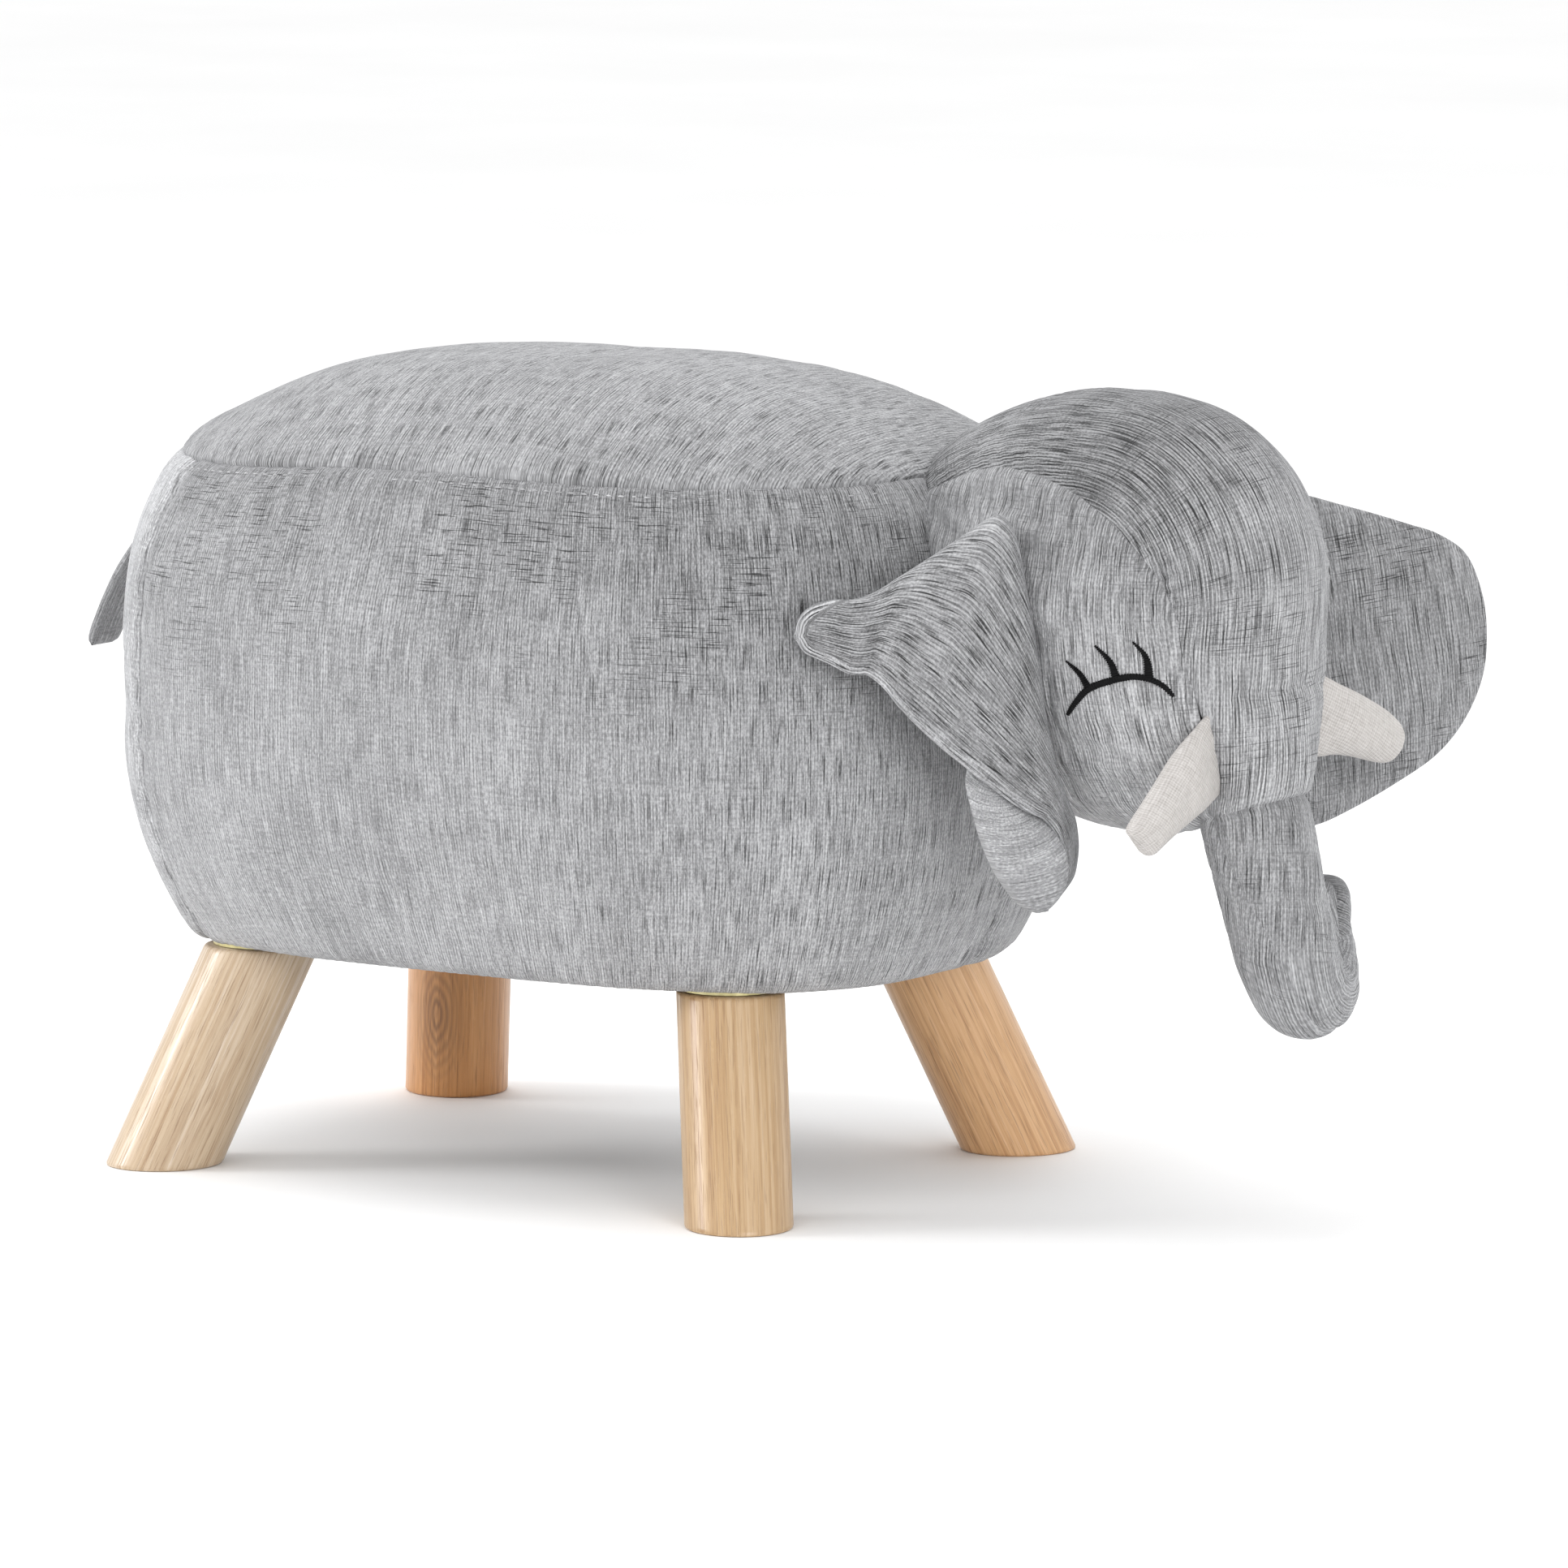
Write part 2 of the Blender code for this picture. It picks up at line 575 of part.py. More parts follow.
def head_radius(pitch, depth):
    """Reach of the head's middle section in a direction, depth metres under the cover's face."""
    c, s = math.cos(pitch), math.sin(pitch)
    ahead = (HEAD_REACH if c > 0 else HEAD_NECK) - depth
    rise = (HEAD_CROWN if s > 0 else HEAD_CHIN) - depth
    if c > 0:
        n = BROW_ROUND if s > 0 else MUZZLE_ROUND
    else:
        n = NAPE_ROUND if s > 0 else THROAT_ROUND
    return ((abs(c) / ahead) ** n + (abs(s) / rise) ** n) ** (-1 / n)


def head_point(pitch, turn, depth):
    reach = head_radius(pitch, depth) * math.cos(turn)
    return reach * math.cos(pitch), (HEAD_WIDTH / 2 - depth) * math.sin(turn), reach * math.sin(pitch)


def cheek_point(x, z, side, lift):
    """A point on the cheek at a forward and upward place, lifted outward."""
    share = min(math.hypot(x, z) / head_radius(math.atan2(z, x), 0.0), 1.0)
    return Vector((x, side * (HEAD_WIDTH / 2 * math.sqrt(1 - share ** 2) + lift), z))


def gusset_turn(pitch):
    """Half of the forehead panel's angle at a pitch, nearly 0 where the cheeks meet at the chin."""
    degrees = math.degrees(pitch)
    half = CLEARANCE
    for (a, low), (b, high) in zip(GUSSET_HALF_WIDTHS, GUSSET_HALF_WIDTHS[1:]):
        if a - 1e-6 <= degrees <= b + 1e-6:
            half = low + (high - low) * smooth_step((degrees - a) / (b - a))
    return math.asin(min(half / (HEAD_WIDTH / 2), 0.95))


def gusset_turns(pitch, gap):
    half = gusset_turn(pitch) - gap
    return [half * (2 * i / GUSSET_COLUMNS - 1) for i in range(GUSSET_COLUMNS + 1)]


def cheek_turns(pitch, gap):
    low = gusset_turn(pitch) + gap
    return [low + (math.pi / 2 - low) * i / CHEEK_ROWS for i in range(CHEEK_ROWS + 1)]


def add_head_form(name, depth, finish, parent):
    """The whole head as one solid, with the same facets as its covers."""
    rings = []
    for i in range(2 * CHEEK_ROWS + GUSSET_COLUMNS + 1):
        ring = []
        for pitch in HEAD_ANGLES:
            cheek = cheek_turns(pitch, 0.0)
            turns = [-t for t in cheek[::-1]] + gusset_turns(pitch, 0.0)[1:-1] + cheek
            ring.append(head_point(pitch, turns[i], depth))
        rings.append(ring)
    return add_loft(name, rings, finish, parent)


def trunk_socket(parent):
    """The hollow that the trunk's rounded top sits and swings in."""
    radius = TRUNK_ROOT_RADIUS + 2 * CLEARANCE
    flare = math.tan(TRUNK_SWING)
    rows = [(radius + flare * 0.05, -0.05), (radius, 0.0)]
    rows += [(radius * math.cos(a), radius * math.sin(a)) for a in (i * math.pi / 12 for i in range(1, 7))]
    return add_cutter(add_turned("trunk_socket", rows, 28, None, parent, (TRUNK_FORWARD, 0, -TRUNK_DROP)))


def build_head(head, body_envelope):
    socket = trunk_socket(head)
    gap = CLEARANCE / HEAD_WIDTH * 2
    pieces = [add_head_form("head_filling", COVER + FILL_GAP, "fibre", head)]

    def forehead(depth):
        pitches = HEAD_ANGLES[:GUSSET_ROWS + 1]
        return [[head_point(p, t, depth) for t in gusset_turns(p, gap)] for p in pitches]

    pieces.append(add_skin("forehead_panel", forehead(0.0), forehead(COVER), "chenille", head))
    for side, sign in (("right", -1), ("left", 1)):
        def cheek(depth):
            columns = [[head_point(p, sign * t, depth) for t in cheek_turns(p, gap)[::sign]]
                       for p in HEAD_ANGLES]
            return [list(row) for row in zip(*columns)]

        pieces.append(add_skin(f"{side}_cheek_panel", cheek(0.0), cheek(COVER), "chenille", head, wrap=True))
    for piece in pieces:
        cut(piece, body_envelope)
        cut(piece, socket)


# Trunk, about the middle of its rounded top

def trunk_path():
    """Points down the shaft, round the curl and up to the tip, each with its radius."""
    lean, bend = TRUNK_LEAN, TRUNK_CURL_RADIUS
    down = Vector((math.sin(lean), 0, -math.cos(lean)))
    side = Vector((math.cos(TRUNK_CURL_TURN), math.sin(TRUNK_CURL_TURN), 0))
    rows = [(down * (TRUNK_SHAFT * i / 4), TRUNK_ROOT_RADIUS
             + (TRUNK_SHAFT_RADIUS - TRUNK_ROOT_RADIUS) * i / 4) for i in range(5)]
    centre = down * TRUNK_SHAFT + side * bend
    thin = TRUNK_SHAFT_RADIUS - TRUNK_TIP_RADIUS
    for i in range(1, 8):
        a = math.pi * i / 7
        point = centre - side * (bend * math.cos(a)) + down * (bend * math.sin(a))
        rows.append((point, TRUNK_SHAFT_RADIUS - thin * i / 7))
    rows.append((rows[-1][0] - down * TRUNK_TIP, TRUNK_TIP_RADIUS))
    return rows


def tube_rings(rows, depth, start, round_start):
    """Rings along a path, rounded over at the far end, and at the near end when asked."""
    rings = []
    points = [Vector(p) for p, _ in rows]
    across = Vector(start)
    for i, (point, radius) in enumerate(rows):
        way = (points[min(i + 1, len(points) - 1)] - points[max(i - 1, 0)]).normalized()
        across = (across - way * across.dot(way)).normalized()
        other = way.cross(across)
        shares = [(1.0, 0.0)]
        if i == 0:
            shares = [(math.cos(a), -math.sin(a)) for a in round_start] + shares
        if i == len(rows) - 1:
            shares += [(math.cos(a), math.sin(a)) for a in (i * math.pi / 6 for i in range(1, 4))]
        for wide, ahead in shares:
            middle = Vector(point) + way * ((radius - depth) * ahead)
            reach = max((radius - depth) * wide, 0.0)
            rings.append([middle + reach * (math.cos(a) * across + math.sin(a) * other)
                          for a in (2 * math.pi * k / TRUNK_SEGMENTS for k in range(TRUNK_SEGMENTS))])
    return rings


def build_trunk(head):
    hinge = add_empty("trunk_hinge", head, (TRUNK_FORWARD, 0, -TRUNK_DROP))
    rows, start = trunk_path(), (0, 1, 0)
    opening = [i * math.pi / 9 for i in (3, 2, 1)]
    dome = [i * math.pi / 9 for i in (4.5, 3, 2, 1)]
    add_skin("trunk_cover", tube_rings(rows, 0.0, start, opening), tube_rings(rows, COVER, start, opening),
             "chenille", hinge, wrap=True)
    add_loft("trunk_filling", tube_rings(rows, COVER + FILL_GAP, start, dome), "fibre", hinge)


# Ears, about the middle of the hinge line

def ear_frame(side):
    lean = EAR_LEAN
    upward = Vector((math.sin(lean), 0, math.cos(lean)))
    forward = Vector((math.cos(lean), 0, -math.sin(lean)))
    return upward, forward, Vector((0, side, 0))


def ear_hinge(side):
    return Vector((EAR_FORWARD, side * (HEAD_WIDTH / 2 + EAR_HINGE_GAP), -EAR_DROP))


def ear_outline(name, share):
    """Root and rim of the flat pattern, share running from the top of the ear to its bottom."""
    height = EAR_ROOT_TOP + (EAR_ROOT_BOTTOM - EAR_ROOT_TOP) * share
    upward = ear_frame(1)[0]
    place = ear_hinge(1) + upward * height
    gap = 3 * CLEARANCE
    root = Vector((cheek_point(place.x, place.z, 1, gap).y - ear_hinge(1).y, height))
    ends = []
    for end in (EAR_ROOT_TOP, EAR_ROOT_BOTTOM):
        spot = ear_hinge(1) + upward * end
        ends.append((cheek_point(spot.x, spot.z, 1, gap).y - ear_hinge(1).y, end))
    rim = along([ends[0], *EAR_RIM[name], ends[1]], share)
    return root, rim


def ear_half_thickness(name, across, share):
    """Half of the ear's thickness: flat at the root, full in the middle, thin at the rim."""
    swell = math.sin(math.pi * min(max(share, 0.0), 1.0)) ** 0.5
    body = EAR_THICKNESS[name] / 2 * math.sin(math.pi * across ** 0.8) ** 0.6 * swell
    edge = EAR_ROOT_THICKNESS + (EAR_RIM_THICKNESS - EAR_ROOT_THICKNESS) * across
    return max(body, edge / 2)


def ear_point(name, side, across, share, face, depth):
    root, rim = ear_outline(name, share)
    flat = root + (rim - root) * across
    low = smooth_step(-flat.y / -EAR_ROOT_BOTTOM)
    sweep = EAR_SWEEP[name] + EAR_TWIST[name] * low
    upward, forward, outward = ear_frame(side)
    out = outward * math.cos(sweep) - forward * math.sin(sweep)
    normal = forward * math.cos(sweep) + outward * math.sin(sweep)
    half = ear_half_thickness(name, across, share) - depth
    return upward * flat.y + out * flat.x + normal * (face * half)


def ear_sheet(name, side, depth, reach=1.0, inset=0.0, trim=0):
    """The ear's front from root to rim, then its back from rim to root, less trim rows and columns."""
    shares = [inset + (1 - 2 * inset) * i / EAR_COLUMNS for i in range(trim, EAR_COLUMNS + 1 - trim)]
    steps = [reach * i / EAR_ROWS for i in range(trim, EAR_ROWS + 1 - trim)]
    front = [[ear_point(name, side, p, q, 1, depth) for q in shares] for p in steps]
    back = [[ear_point(name, side, p, q, -1, depth) for q in shares] for p in steps[::-1]]
    return front + back


def build_ears(head):
    for name, side in (("right", -1), ("left", 1)):
        hinge = add_empty(f"{name}_ear_hinge", head, ear_hinge(side))
        inner = ear_sheet(name, side, EAR_CLOTH, EAR_LINING, (1 - EAR_LINING) / 2)
        add_skin(f"{name}_ear_cover", ear_sheet(name, side, 0.0), inner, "chenille", hinge)
        sheet = ear_sheet(name, side, EAR_CLOTH + FILL_GAP, EAR_LINING, (1 - EAR_LINING) / 2, 1)
        add_loft(f"{name}_ear_wadding", [list(ring) for ring in zip(*sheet)], "fibre", hinge)


# Tusks and eyes

def build_tusks(head, head_envelope):
    for name, side in (("right", -1), ("left", 1)):
        droop = TUSK_DROOP[name]
        way = Vector((math.sin(TUSK_AHEAD), side * math.cos(TUSK_AHEAD), 0)) * math.cos(droop)
        way.z = -math.sin(droop)
        straight = TUSK_LENGTH - TUSK_TIP_RADIUS
        taper = TUSK_TIP_RADIUS - TUSK_BASE_RADIUS
        rows = [(way * (straight * i / 4), TUSK_BASE_RADIUS + taper * (i / 4) ** 1.3) for i in range(5)]
        location = (TUSK_FORWARD, side * TUSK_OUT, -TUSK_DROP)
        cover = add_skin(f"{name}_tusk_cover", tube_rings(rows, 0.0, (1, 0, 0), ()),
                         tube_rings(rows, TUSK_CLOTH, (1, 0, 0), ()), "linen", head, wrap=True)
        filling = add_loft(f"{name}_tusk_filling", tube_rings(rows, TUSK_CLOTH + FILL_GAP, (1, 0, 0), ()),
                           "fibre", head)
        for piece in (cover, filling):
            piece.location = location
            cut(piece, head_envelope)


def add_stitch(name, path, widths, side, parent, finish):
    """A raised satin-stitch line on the cheek along a path of forward and upward places."""
    low, high = 2 * CLEARANCE, 2 * CLEARANCE + EYE_THREAD
    grids = []
    for lift in (high, low):
        rows = []
        for i, (point, width) in enumerate(zip(path, widths)):
            before, after = path[max(i - 1, 0)], path[min(i + 1, len(path) - 1)]
            way = (after - before).normalized()
            across = Vector((-way.y, way.x)) * (width / 2)
            rows.append([cheek_point(*(point + across * s), side, lift) for s in (-1, 0, 1)])
        grids.append(rows)
    return add_skin(name, grids[0], grids[1], finish, parent)


def build_eyes(head):
    steps = 8
    for name, side in (("right", -1), ("left", 1)):
        lid_path = [along(EYE_LID, i / steps) for i in range(steps + 1)]
        swell = [math.sin(math.pi * i / steps) ** 0.5 for i in range(steps + 1)]
        widths = [EYE_LID_WIDTH * (0.35 + 0.65 * share) for share in swell]
        lid = add_stitch(f"{name}_eye", lid_path, widths, side, head, "thread")
        for number, (foot, tip) in enumerate(EYE_LASHES):
            path = [Vector(foot).lerp(Vector(tip), i / 2) for i in range(3)]
            widths = [EYE_LASH_WIDTH * (1 - 0.8 * i / 2) for i in range(3)]
            join(lid, add_cutter(add_stitch(f"{name}_lash_{number}", path, widths, side, head, None)))


# Tail, about the middle of its sewn end

def build_tail(root):
    rear = BODY_FORWARD - BODY_LENGTH / 2 + side_inset(TAIL_Z)
    half = TAIL_THICKNESS / 2
    hinge = add_empty("tail_hinge", root, (rear - 3 * CLEARANCE, 0, TAIL_Z))
    corner, end = Vector((-0.66 * TAIL_BACK, 0, -0.16 * TAIL_FALL)), Vector((-TAIL_BACK, 0, -TAIL_FALL))
    section = [(a, b) for a, b in ((-1, -0.9), (-1, 0.9), (-0.5, 1), (0.5, 1))]
    section += [(-a, -b) for a, b in section]
    rings = []
    for i in range(TAIL_ROWS + 1):
        t = i / TAIL_ROWS
        point = 2 * t * (1 - t) * corner + t * t * end
        way = (corner * (1 - 2 * t) + end * t).normalized()
        normal = Vector((way.z, 0, -way.x))
        thick = half * (1 if i else 0.3)
        wide = TAIL_WIDTH / 2 * (1 if i < TAIL_ROWS else 0.8)
        rings.append([point + normal * (thick * a) + Vector((0, wide * b, 0)) for a, b in section])
    add_loft("tail", rings, "chenille", hinge)


def centre_on_origin(root):
    """Moves the whole stool so that the middle of its box stands over the origin."""
    bpy.context.view_layer.update()
    graph = bpy.context.evaluated_depsgraph_get()
    corners = []
    for obj in bpy.data.objects:
        if obj.type == "MESH" and not obj.hide_render:
            mesh = obj.evaluated_get(graph).to_mesh()
            corners += [obj.matrix_world @ v.co for v in mesh.vertices]
    for axis in (0, 1):
        values = [corner[axis] for corner in corners]
        root.location[axis] -= (min(values) + max(values)) / 2


def main():
    clear_scene()
    root = add_empty("stool")
    build_covers(root)
    build_foam(root)
    base, dust = build_carcass(root)
    build_legs(root, base, dust)
    body_envelope = add_cutter(add_loft("body_envelope", body_rings(-2 * CLEARANCE), None, root))
    head_place = (BODY_FORWARD + BODY_LENGTH / 2 + HEAD_AHEAD, -HEAD_RIGHT, HEAD_Z)
    turn = Matrix.Rotation(HEAD_TURN, 3, "Z") @ Matrix.Rotation(HEAD_TILT, 3, "X")
    head = add_empty("head", root, head_place, turn)
    build_head(head, body_envelope)
    head_envelope = add_cutter(add_head_form("head_envelope", -CLEARANCE, None, head))
    build_trunk(head)
    build_ears(head)
    build_tusks(head, head_envelope)
    build_eyes(head)
    build_tail(root)
    centre_on_origin(root)


main()
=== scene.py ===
"""Looks of the upholstered elephant stool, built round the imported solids.

The covers are sewn chenille panels: each is its own closed form with its seams drawn in,
its ribs laid the way the cloth was cut, and its fullness where it is stuffed.
"""

import json
import math

import bmesh
import bpy
import numpy as np
from mathutils import Matrix, Vector, noise


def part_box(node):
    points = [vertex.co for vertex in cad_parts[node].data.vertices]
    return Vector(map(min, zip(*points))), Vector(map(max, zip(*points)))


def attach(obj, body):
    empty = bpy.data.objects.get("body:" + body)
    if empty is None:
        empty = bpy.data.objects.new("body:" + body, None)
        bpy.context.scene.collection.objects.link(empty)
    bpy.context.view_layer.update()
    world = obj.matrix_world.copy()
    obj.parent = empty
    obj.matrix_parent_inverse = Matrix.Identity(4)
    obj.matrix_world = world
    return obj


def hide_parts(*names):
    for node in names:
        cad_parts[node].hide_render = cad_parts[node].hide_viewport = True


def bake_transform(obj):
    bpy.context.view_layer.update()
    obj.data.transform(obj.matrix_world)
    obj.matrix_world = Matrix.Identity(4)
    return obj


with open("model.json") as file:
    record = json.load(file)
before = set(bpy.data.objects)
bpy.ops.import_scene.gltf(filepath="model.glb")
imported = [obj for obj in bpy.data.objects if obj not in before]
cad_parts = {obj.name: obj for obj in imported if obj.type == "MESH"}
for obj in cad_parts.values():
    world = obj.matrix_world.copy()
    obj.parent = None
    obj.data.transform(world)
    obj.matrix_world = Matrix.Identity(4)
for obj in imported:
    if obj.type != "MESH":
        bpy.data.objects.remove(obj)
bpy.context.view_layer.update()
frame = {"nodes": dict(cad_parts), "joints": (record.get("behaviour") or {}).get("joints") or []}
nodes = frame["nodes"]
joints = {joint["name"]: joint for joint in frame["joints"]}
legs = [f"{end}_{side}_leg" for end in ("front", "rear") for side in ("right", "left")]
FEET = np.mean([np.array(corner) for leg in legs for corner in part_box(leg)], axis=0) * (1, 1, 0)

# Sizes of the solids, in metres and radians
BODY_LENGTH, BODY_WIDTH, BODY_SQUARENESS, BODY_FORWARD = 0.407, 0.288, 3.0, 0.0035
UNDERSIDE_Z, WIDEST_Z, SEAM_Z, DECK_Z = 0.0965, 0.199, 0.309, 0.262
SEAM_INSET, SEAM_CURVE, SEAM_DROOP = 0.0234, 3.2, 0.006
UNDERSIDE_INSET, UNDERSIDE_CURVE, EDGE_ROUND, HEM = 0.0271, 2.35, 0.005, 0.009
CROWN_HEIGHT, CROWN_CURVE = 0.0395, 3.0
REAR_SEAM = math.radians(135)
HEAD_PLACE = FEET + (BODY_FORWARD + BODY_LENGTH / 2 + 0.072, -0.0093, 0.2572)
HEAD_TURN = np.array(Matrix.Rotation(math.radians(-12), 3, "Z") @ Matrix.Rotation(math.radians(4), 3, "X"))
HEAD_REACH, HEAD_CROWN, HEAD_NECK, HEAD_CHIN, HEAD_WIDTH = 0.0885, 0.091, 0.137, 0.093, 0.127
HEAD_MIDDLE = np.array((0.0, 0, 0.02))
BROW_SQUARENESS, MUZZLE_SQUARENESS, NAPE_SQUARENESS, THROAT_SQUARENESS = 2.33, 3.2, 2.05, 2.1
# Dents in the face: pitch and width in degrees, and depth
HEAD_DENTS = ((-12, 22, 0.006), (-47, 16, 0.008))
# Half widths of the forehead panel by pitch in degrees
GUSSET = np.array([(-84, 0.0003), (-67, 0.016), (-53, 0.0265), (-40, 0.0345), (-25, 0.0396), (1, 0.0444),
                   (30, 0.0493), (46, 0.0508), (66, 0.0505), (93, 0.0476), (117, 0.0430), (139, 0.0397),
                   (158, 0.0330), (176, 0.0120)])
EYE_LID = ((0.0095, -0.0339), (0.0156, -0.0277), (0.0225, -0.0218), (0.0311, -0.0183), (0.0413, -0.0157),
           (0.0482, -0.0164), (0.0535, -0.0194), (0.0569, -0.0240))
EYE_LASHES = (((0.0227, -0.0213), (0.0194, -0.0153), (0.0134, -0.0105)),
              ((0.0360, -0.0171), (0.0336, -0.0096), (0.0275, -0.0032)),
              ((0.0487, -0.0166), (0.0479, -0.0073), (0.0435, -0.0011)))
TRUNK_PLACE = np.array((0.0590, -0.0018, -0.081))
TRUNK_LEAN = math.radians(15)
TRUNK_DOWN = np.array((math.sin(TRUNK_LEAN), 0, -math.cos(TRUNK_LEAN)))
TRUNK_AHEAD = np.array((math.cos(TRUNK_LEAN), 0, math.sin(TRUNK_LEAN)))
TRUNK_START, TRUNK_SHAFT, TRUNK_BEND, TRUNK_GIRTH = 0.016, 0.060, 0.0195, (0.0240, 0.0210, 0.0155)
TRUNK_CURL = math.radians(119)
FRONT_SEAM = math.radians(9)
EAR_LEAN, RIGHT_SWEEP, LEFT_SWEEP = (math.radians(a) for a in (-6, 50, -20))
STITCH_DROP, STITCH_SPACING, STITCH_HALF, STITCH_RADIUS = 0.0046, 0.0058, 0.00155, 0.00042
TAIL_BACK, TAIL_FALL, TAIL_WIDTH, TAIL_THICK = 0.064, 0.072, 0.021, 0.006
LEG_RADIUS, LEG_EDGE, LEG_X, LEG_Y = 0.0228, 0.0012, 0.14607, 0.11357
LEG_FORE_SPLAY, LEG_SIDE_SPLAY = math.radians(16.3), math.radians(21.4)
# Colour factors for each leg: partly the leg's own wood colour, partly painted light and shade. The front left leg is
# lightened against the shade it stands in under the head, and the rear left leg is darkened partly for the shade on it.
LEG_TONES_AND_LIGHT = {"front_right_leg": (1.03, 1.04, 1.06), "front_left_leg": (1.40, 1.27, 1.22),
             "rear_right_leg": (1.17, 1.38, 1.85), "rear_left_leg": (1.16, 0.84, 0.56)}
LEG_KNOTS = {"rear_left_leg": [((0.010, 0.019, 0.055), 0.006)]}
MM = 0.001

# Swelling of the stuffed covers
SWELL_FRAMES, SWELL_PRESSURE, SWELL_LIMIT, SWELL_GROWTH, SEAT_GROWTH = 12, 3.0, 0.0035, 0.007, 0.003
SEWN_LEAST = 0.08

# Camera fitted to the photograph, which is taken as 1932 pixels wide
CAMERA_TURN, CAMERA_TILT, CAMERA_AIM_Z = math.radians(32.01), math.radians(8.05), 0.17
CAMERA_DISTANCE, CAMERA_RIGHT, CAMERA_UP, CAMERA_FOCUS, PHOTO_WIDTH = 5.0, 0.0824, -0.0081, 14350, 1932


# Meshes

class Shape:
    """A mesh in the making, with a place on the flat cloth for each corner of each face."""

    def __init__(self):
        self.points, self.free, self.faces, self.cloth, self.count = [], [], [], [], 0

    def add(self, points, free=0.0):
        """New points. Free says how loosely the cloth hangs there, from 0 where it is sewn to 1."""
        points = np.asarray(points, float).reshape(-1, 3)
        self.points.append(points)
        self.free.append(np.broadcast_to(np.asarray(free, float).reshape(-1), (len(points),)))
        self.count += len(points)
        return np.arange(self.count - len(points), self.count)

    def grid(self, points, cloth, wrap=False, free=0.0):
        rows, columns = points.shape[:2]
        index = self.add(points, free).reshape(rows, columns)
        if wrap:
            index = np.concatenate([index, index[:, :1]], 1)
        self.quads(index, cloth)
        return index

    def quads(self, index, cloth):
        self.faces += np.stack([index[:-1, :-1], index[:-1, 1:], index[1:, 1:], index[1:, :-1]],
                               -1).reshape(-1, 4).tolist()
        places = np.stack([cloth[:-1, :-1], cloth[:-1, 1:], cloth[1:, 1:], cloth[1:, :-1]], 2)
        self.cloth.append(places.reshape(-1, 2))

    def fan(self, ring, tip, cloth):
        """Triangles from a line of points to one point."""
        for k in range(len(ring) - 1):
            if len({int(ring[k]), int(ring[k + 1]), int(tip)}) == 3:
                self.faces.append([int(ring[k]), int(ring[k + 1]), int(tip)])
                self.cloth.append(np.array([cloth[k], cloth[k + 1], cloth[k]], float))

    def caps(self, index, middles, cloth):
        """Closes both ends of a tube."""
        for row in (0, -1):
            self.fan(index[row], self.add(middles[row])[0], cloth[row])

    def rims(self, a, b, cloth):
        """Joins two grids along all four of their edges."""
        for k in (0, -1):
            self.quads(np.stack([a[k], b[k]]), np.stack([cloth[k]] * 2))
            self.quads(np.stack([a[:, k], b[:, k]], 1), np.stack([cloth[:, k]] * 2, 1))

    def make(self, name, material, sharp=62, growth=SWELL_GROWTH):
        mesh = bpy.data.meshes.new(name)
        mesh.from_pydata(np.concatenate(self.points).tolist(), [], self.faces)
        layer = mesh.uv_layers.new(name="cloth")
        layer.data.foreach_set("uv", np.concatenate(self.cloth).astype(np.float32).ravel())
        free = mesh.attributes.new("free", "FLOAT", "POINT")
        free.data.foreach_set("value", np.concatenate(self.free).astype(np.float32))
        bm = bmesh.new()
        bm.from_mesh(mesh)
        bmesh.ops.remove_doubles(bm, verts=bm.verts, dist=1e-6)
        bmesh.ops.recalc_face_normals(bm, faces=bm.faces)
        bm.to_mesh(mesh)
        bm.free()
        obj = bpy.data.objects.new(name, mesh)
        bpy.context.scene.collection.objects.link(obj)
        settle(obj, growth)
        mesh.polygons.foreach_set("use_smooth", [True] * len(mesh.polygons))
        mesh.set_sharp_from_angle(angle=math.radians(sharp))
        mesh.materials.append(material)
        return obj


def settle(obj, growth):
    """Lets the loose cloth swell and pucker between its sewn edges, and keeps the result."""
    mesh = obj.data
    free = np.zeros(len(mesh.vertices), np.float32)
    mesh.attributes["free"].data.foreach_get("value", free)
    mesh.attributes.remove(mesh.attributes["free"])
    if not free.any():
        return
    start = np.zeros(len(free) * 3, np.float32)
    mesh.vertices.foreach_get("co", start)
    sewn = obj.vertex_groups.new(name="sewn")
    held = np.round(1 - (1 - SEWN_LEAST) * free, 2)
    for weight in np.unique(held):
        sewn.add(np.flatnonzero(held == weight).tolist(), float(weight), "REPLACE")
    cloth = obj.modifiers.new("cloth", "CLOTH")
    cloth.settings.vertex_group_mass = "sewn"
    cloth.settings.quality = 4
    cloth.settings.mass = 0.3
    cloth.settings.pin_stiffness = 0.6
    cloth.settings.tension_stiffness = cloth.settings.compression_stiffness = 30
    cloth.settings.bending_stiffness = 0.8
    cloth.settings.shrink_min = -growth
    cloth.settings.use_pressure = True
    cloth.settings.uniform_pressure_force = SWELL_PRESSURE
    cloth.settings.effector_weights.gravity = 0
    cloth.collision_settings.use_collision = False
    cloth.point_cache.frame_start, cloth.point_cache.frame_end = 1, SWELL_FRAMES
    scene = bpy.context.scene
    for frame_number in range(1, SWELL_FRAMES + 1):
        scene.frame_set(frame_number)
    swollen = obj.evaluated_get(bpy.context.evaluated_depsgraph_get()).data
    end = np.zeros_like(start)
    swollen.vertices.foreach_get("co", end)
    obj.modifiers.remove(cloth)
    obj.vertex_groups.remove(sewn)
    scene.frame_set(1)
    move = (end - start).reshape(-1, 3)
    far = np.maximum(np.linalg.norm(move, axis=1, keepdims=True), 1e-9)
    mesh.vertices.foreach_set("co", (start.reshape(-1, 3) + move * np.minimum(1, SWELL_LIMIT / far)).ravel())
    mesh.update()


def unit(v):
    return v / np.maximum(np.linalg.norm(v, axis=-1, keepdims=True), 1e-12)


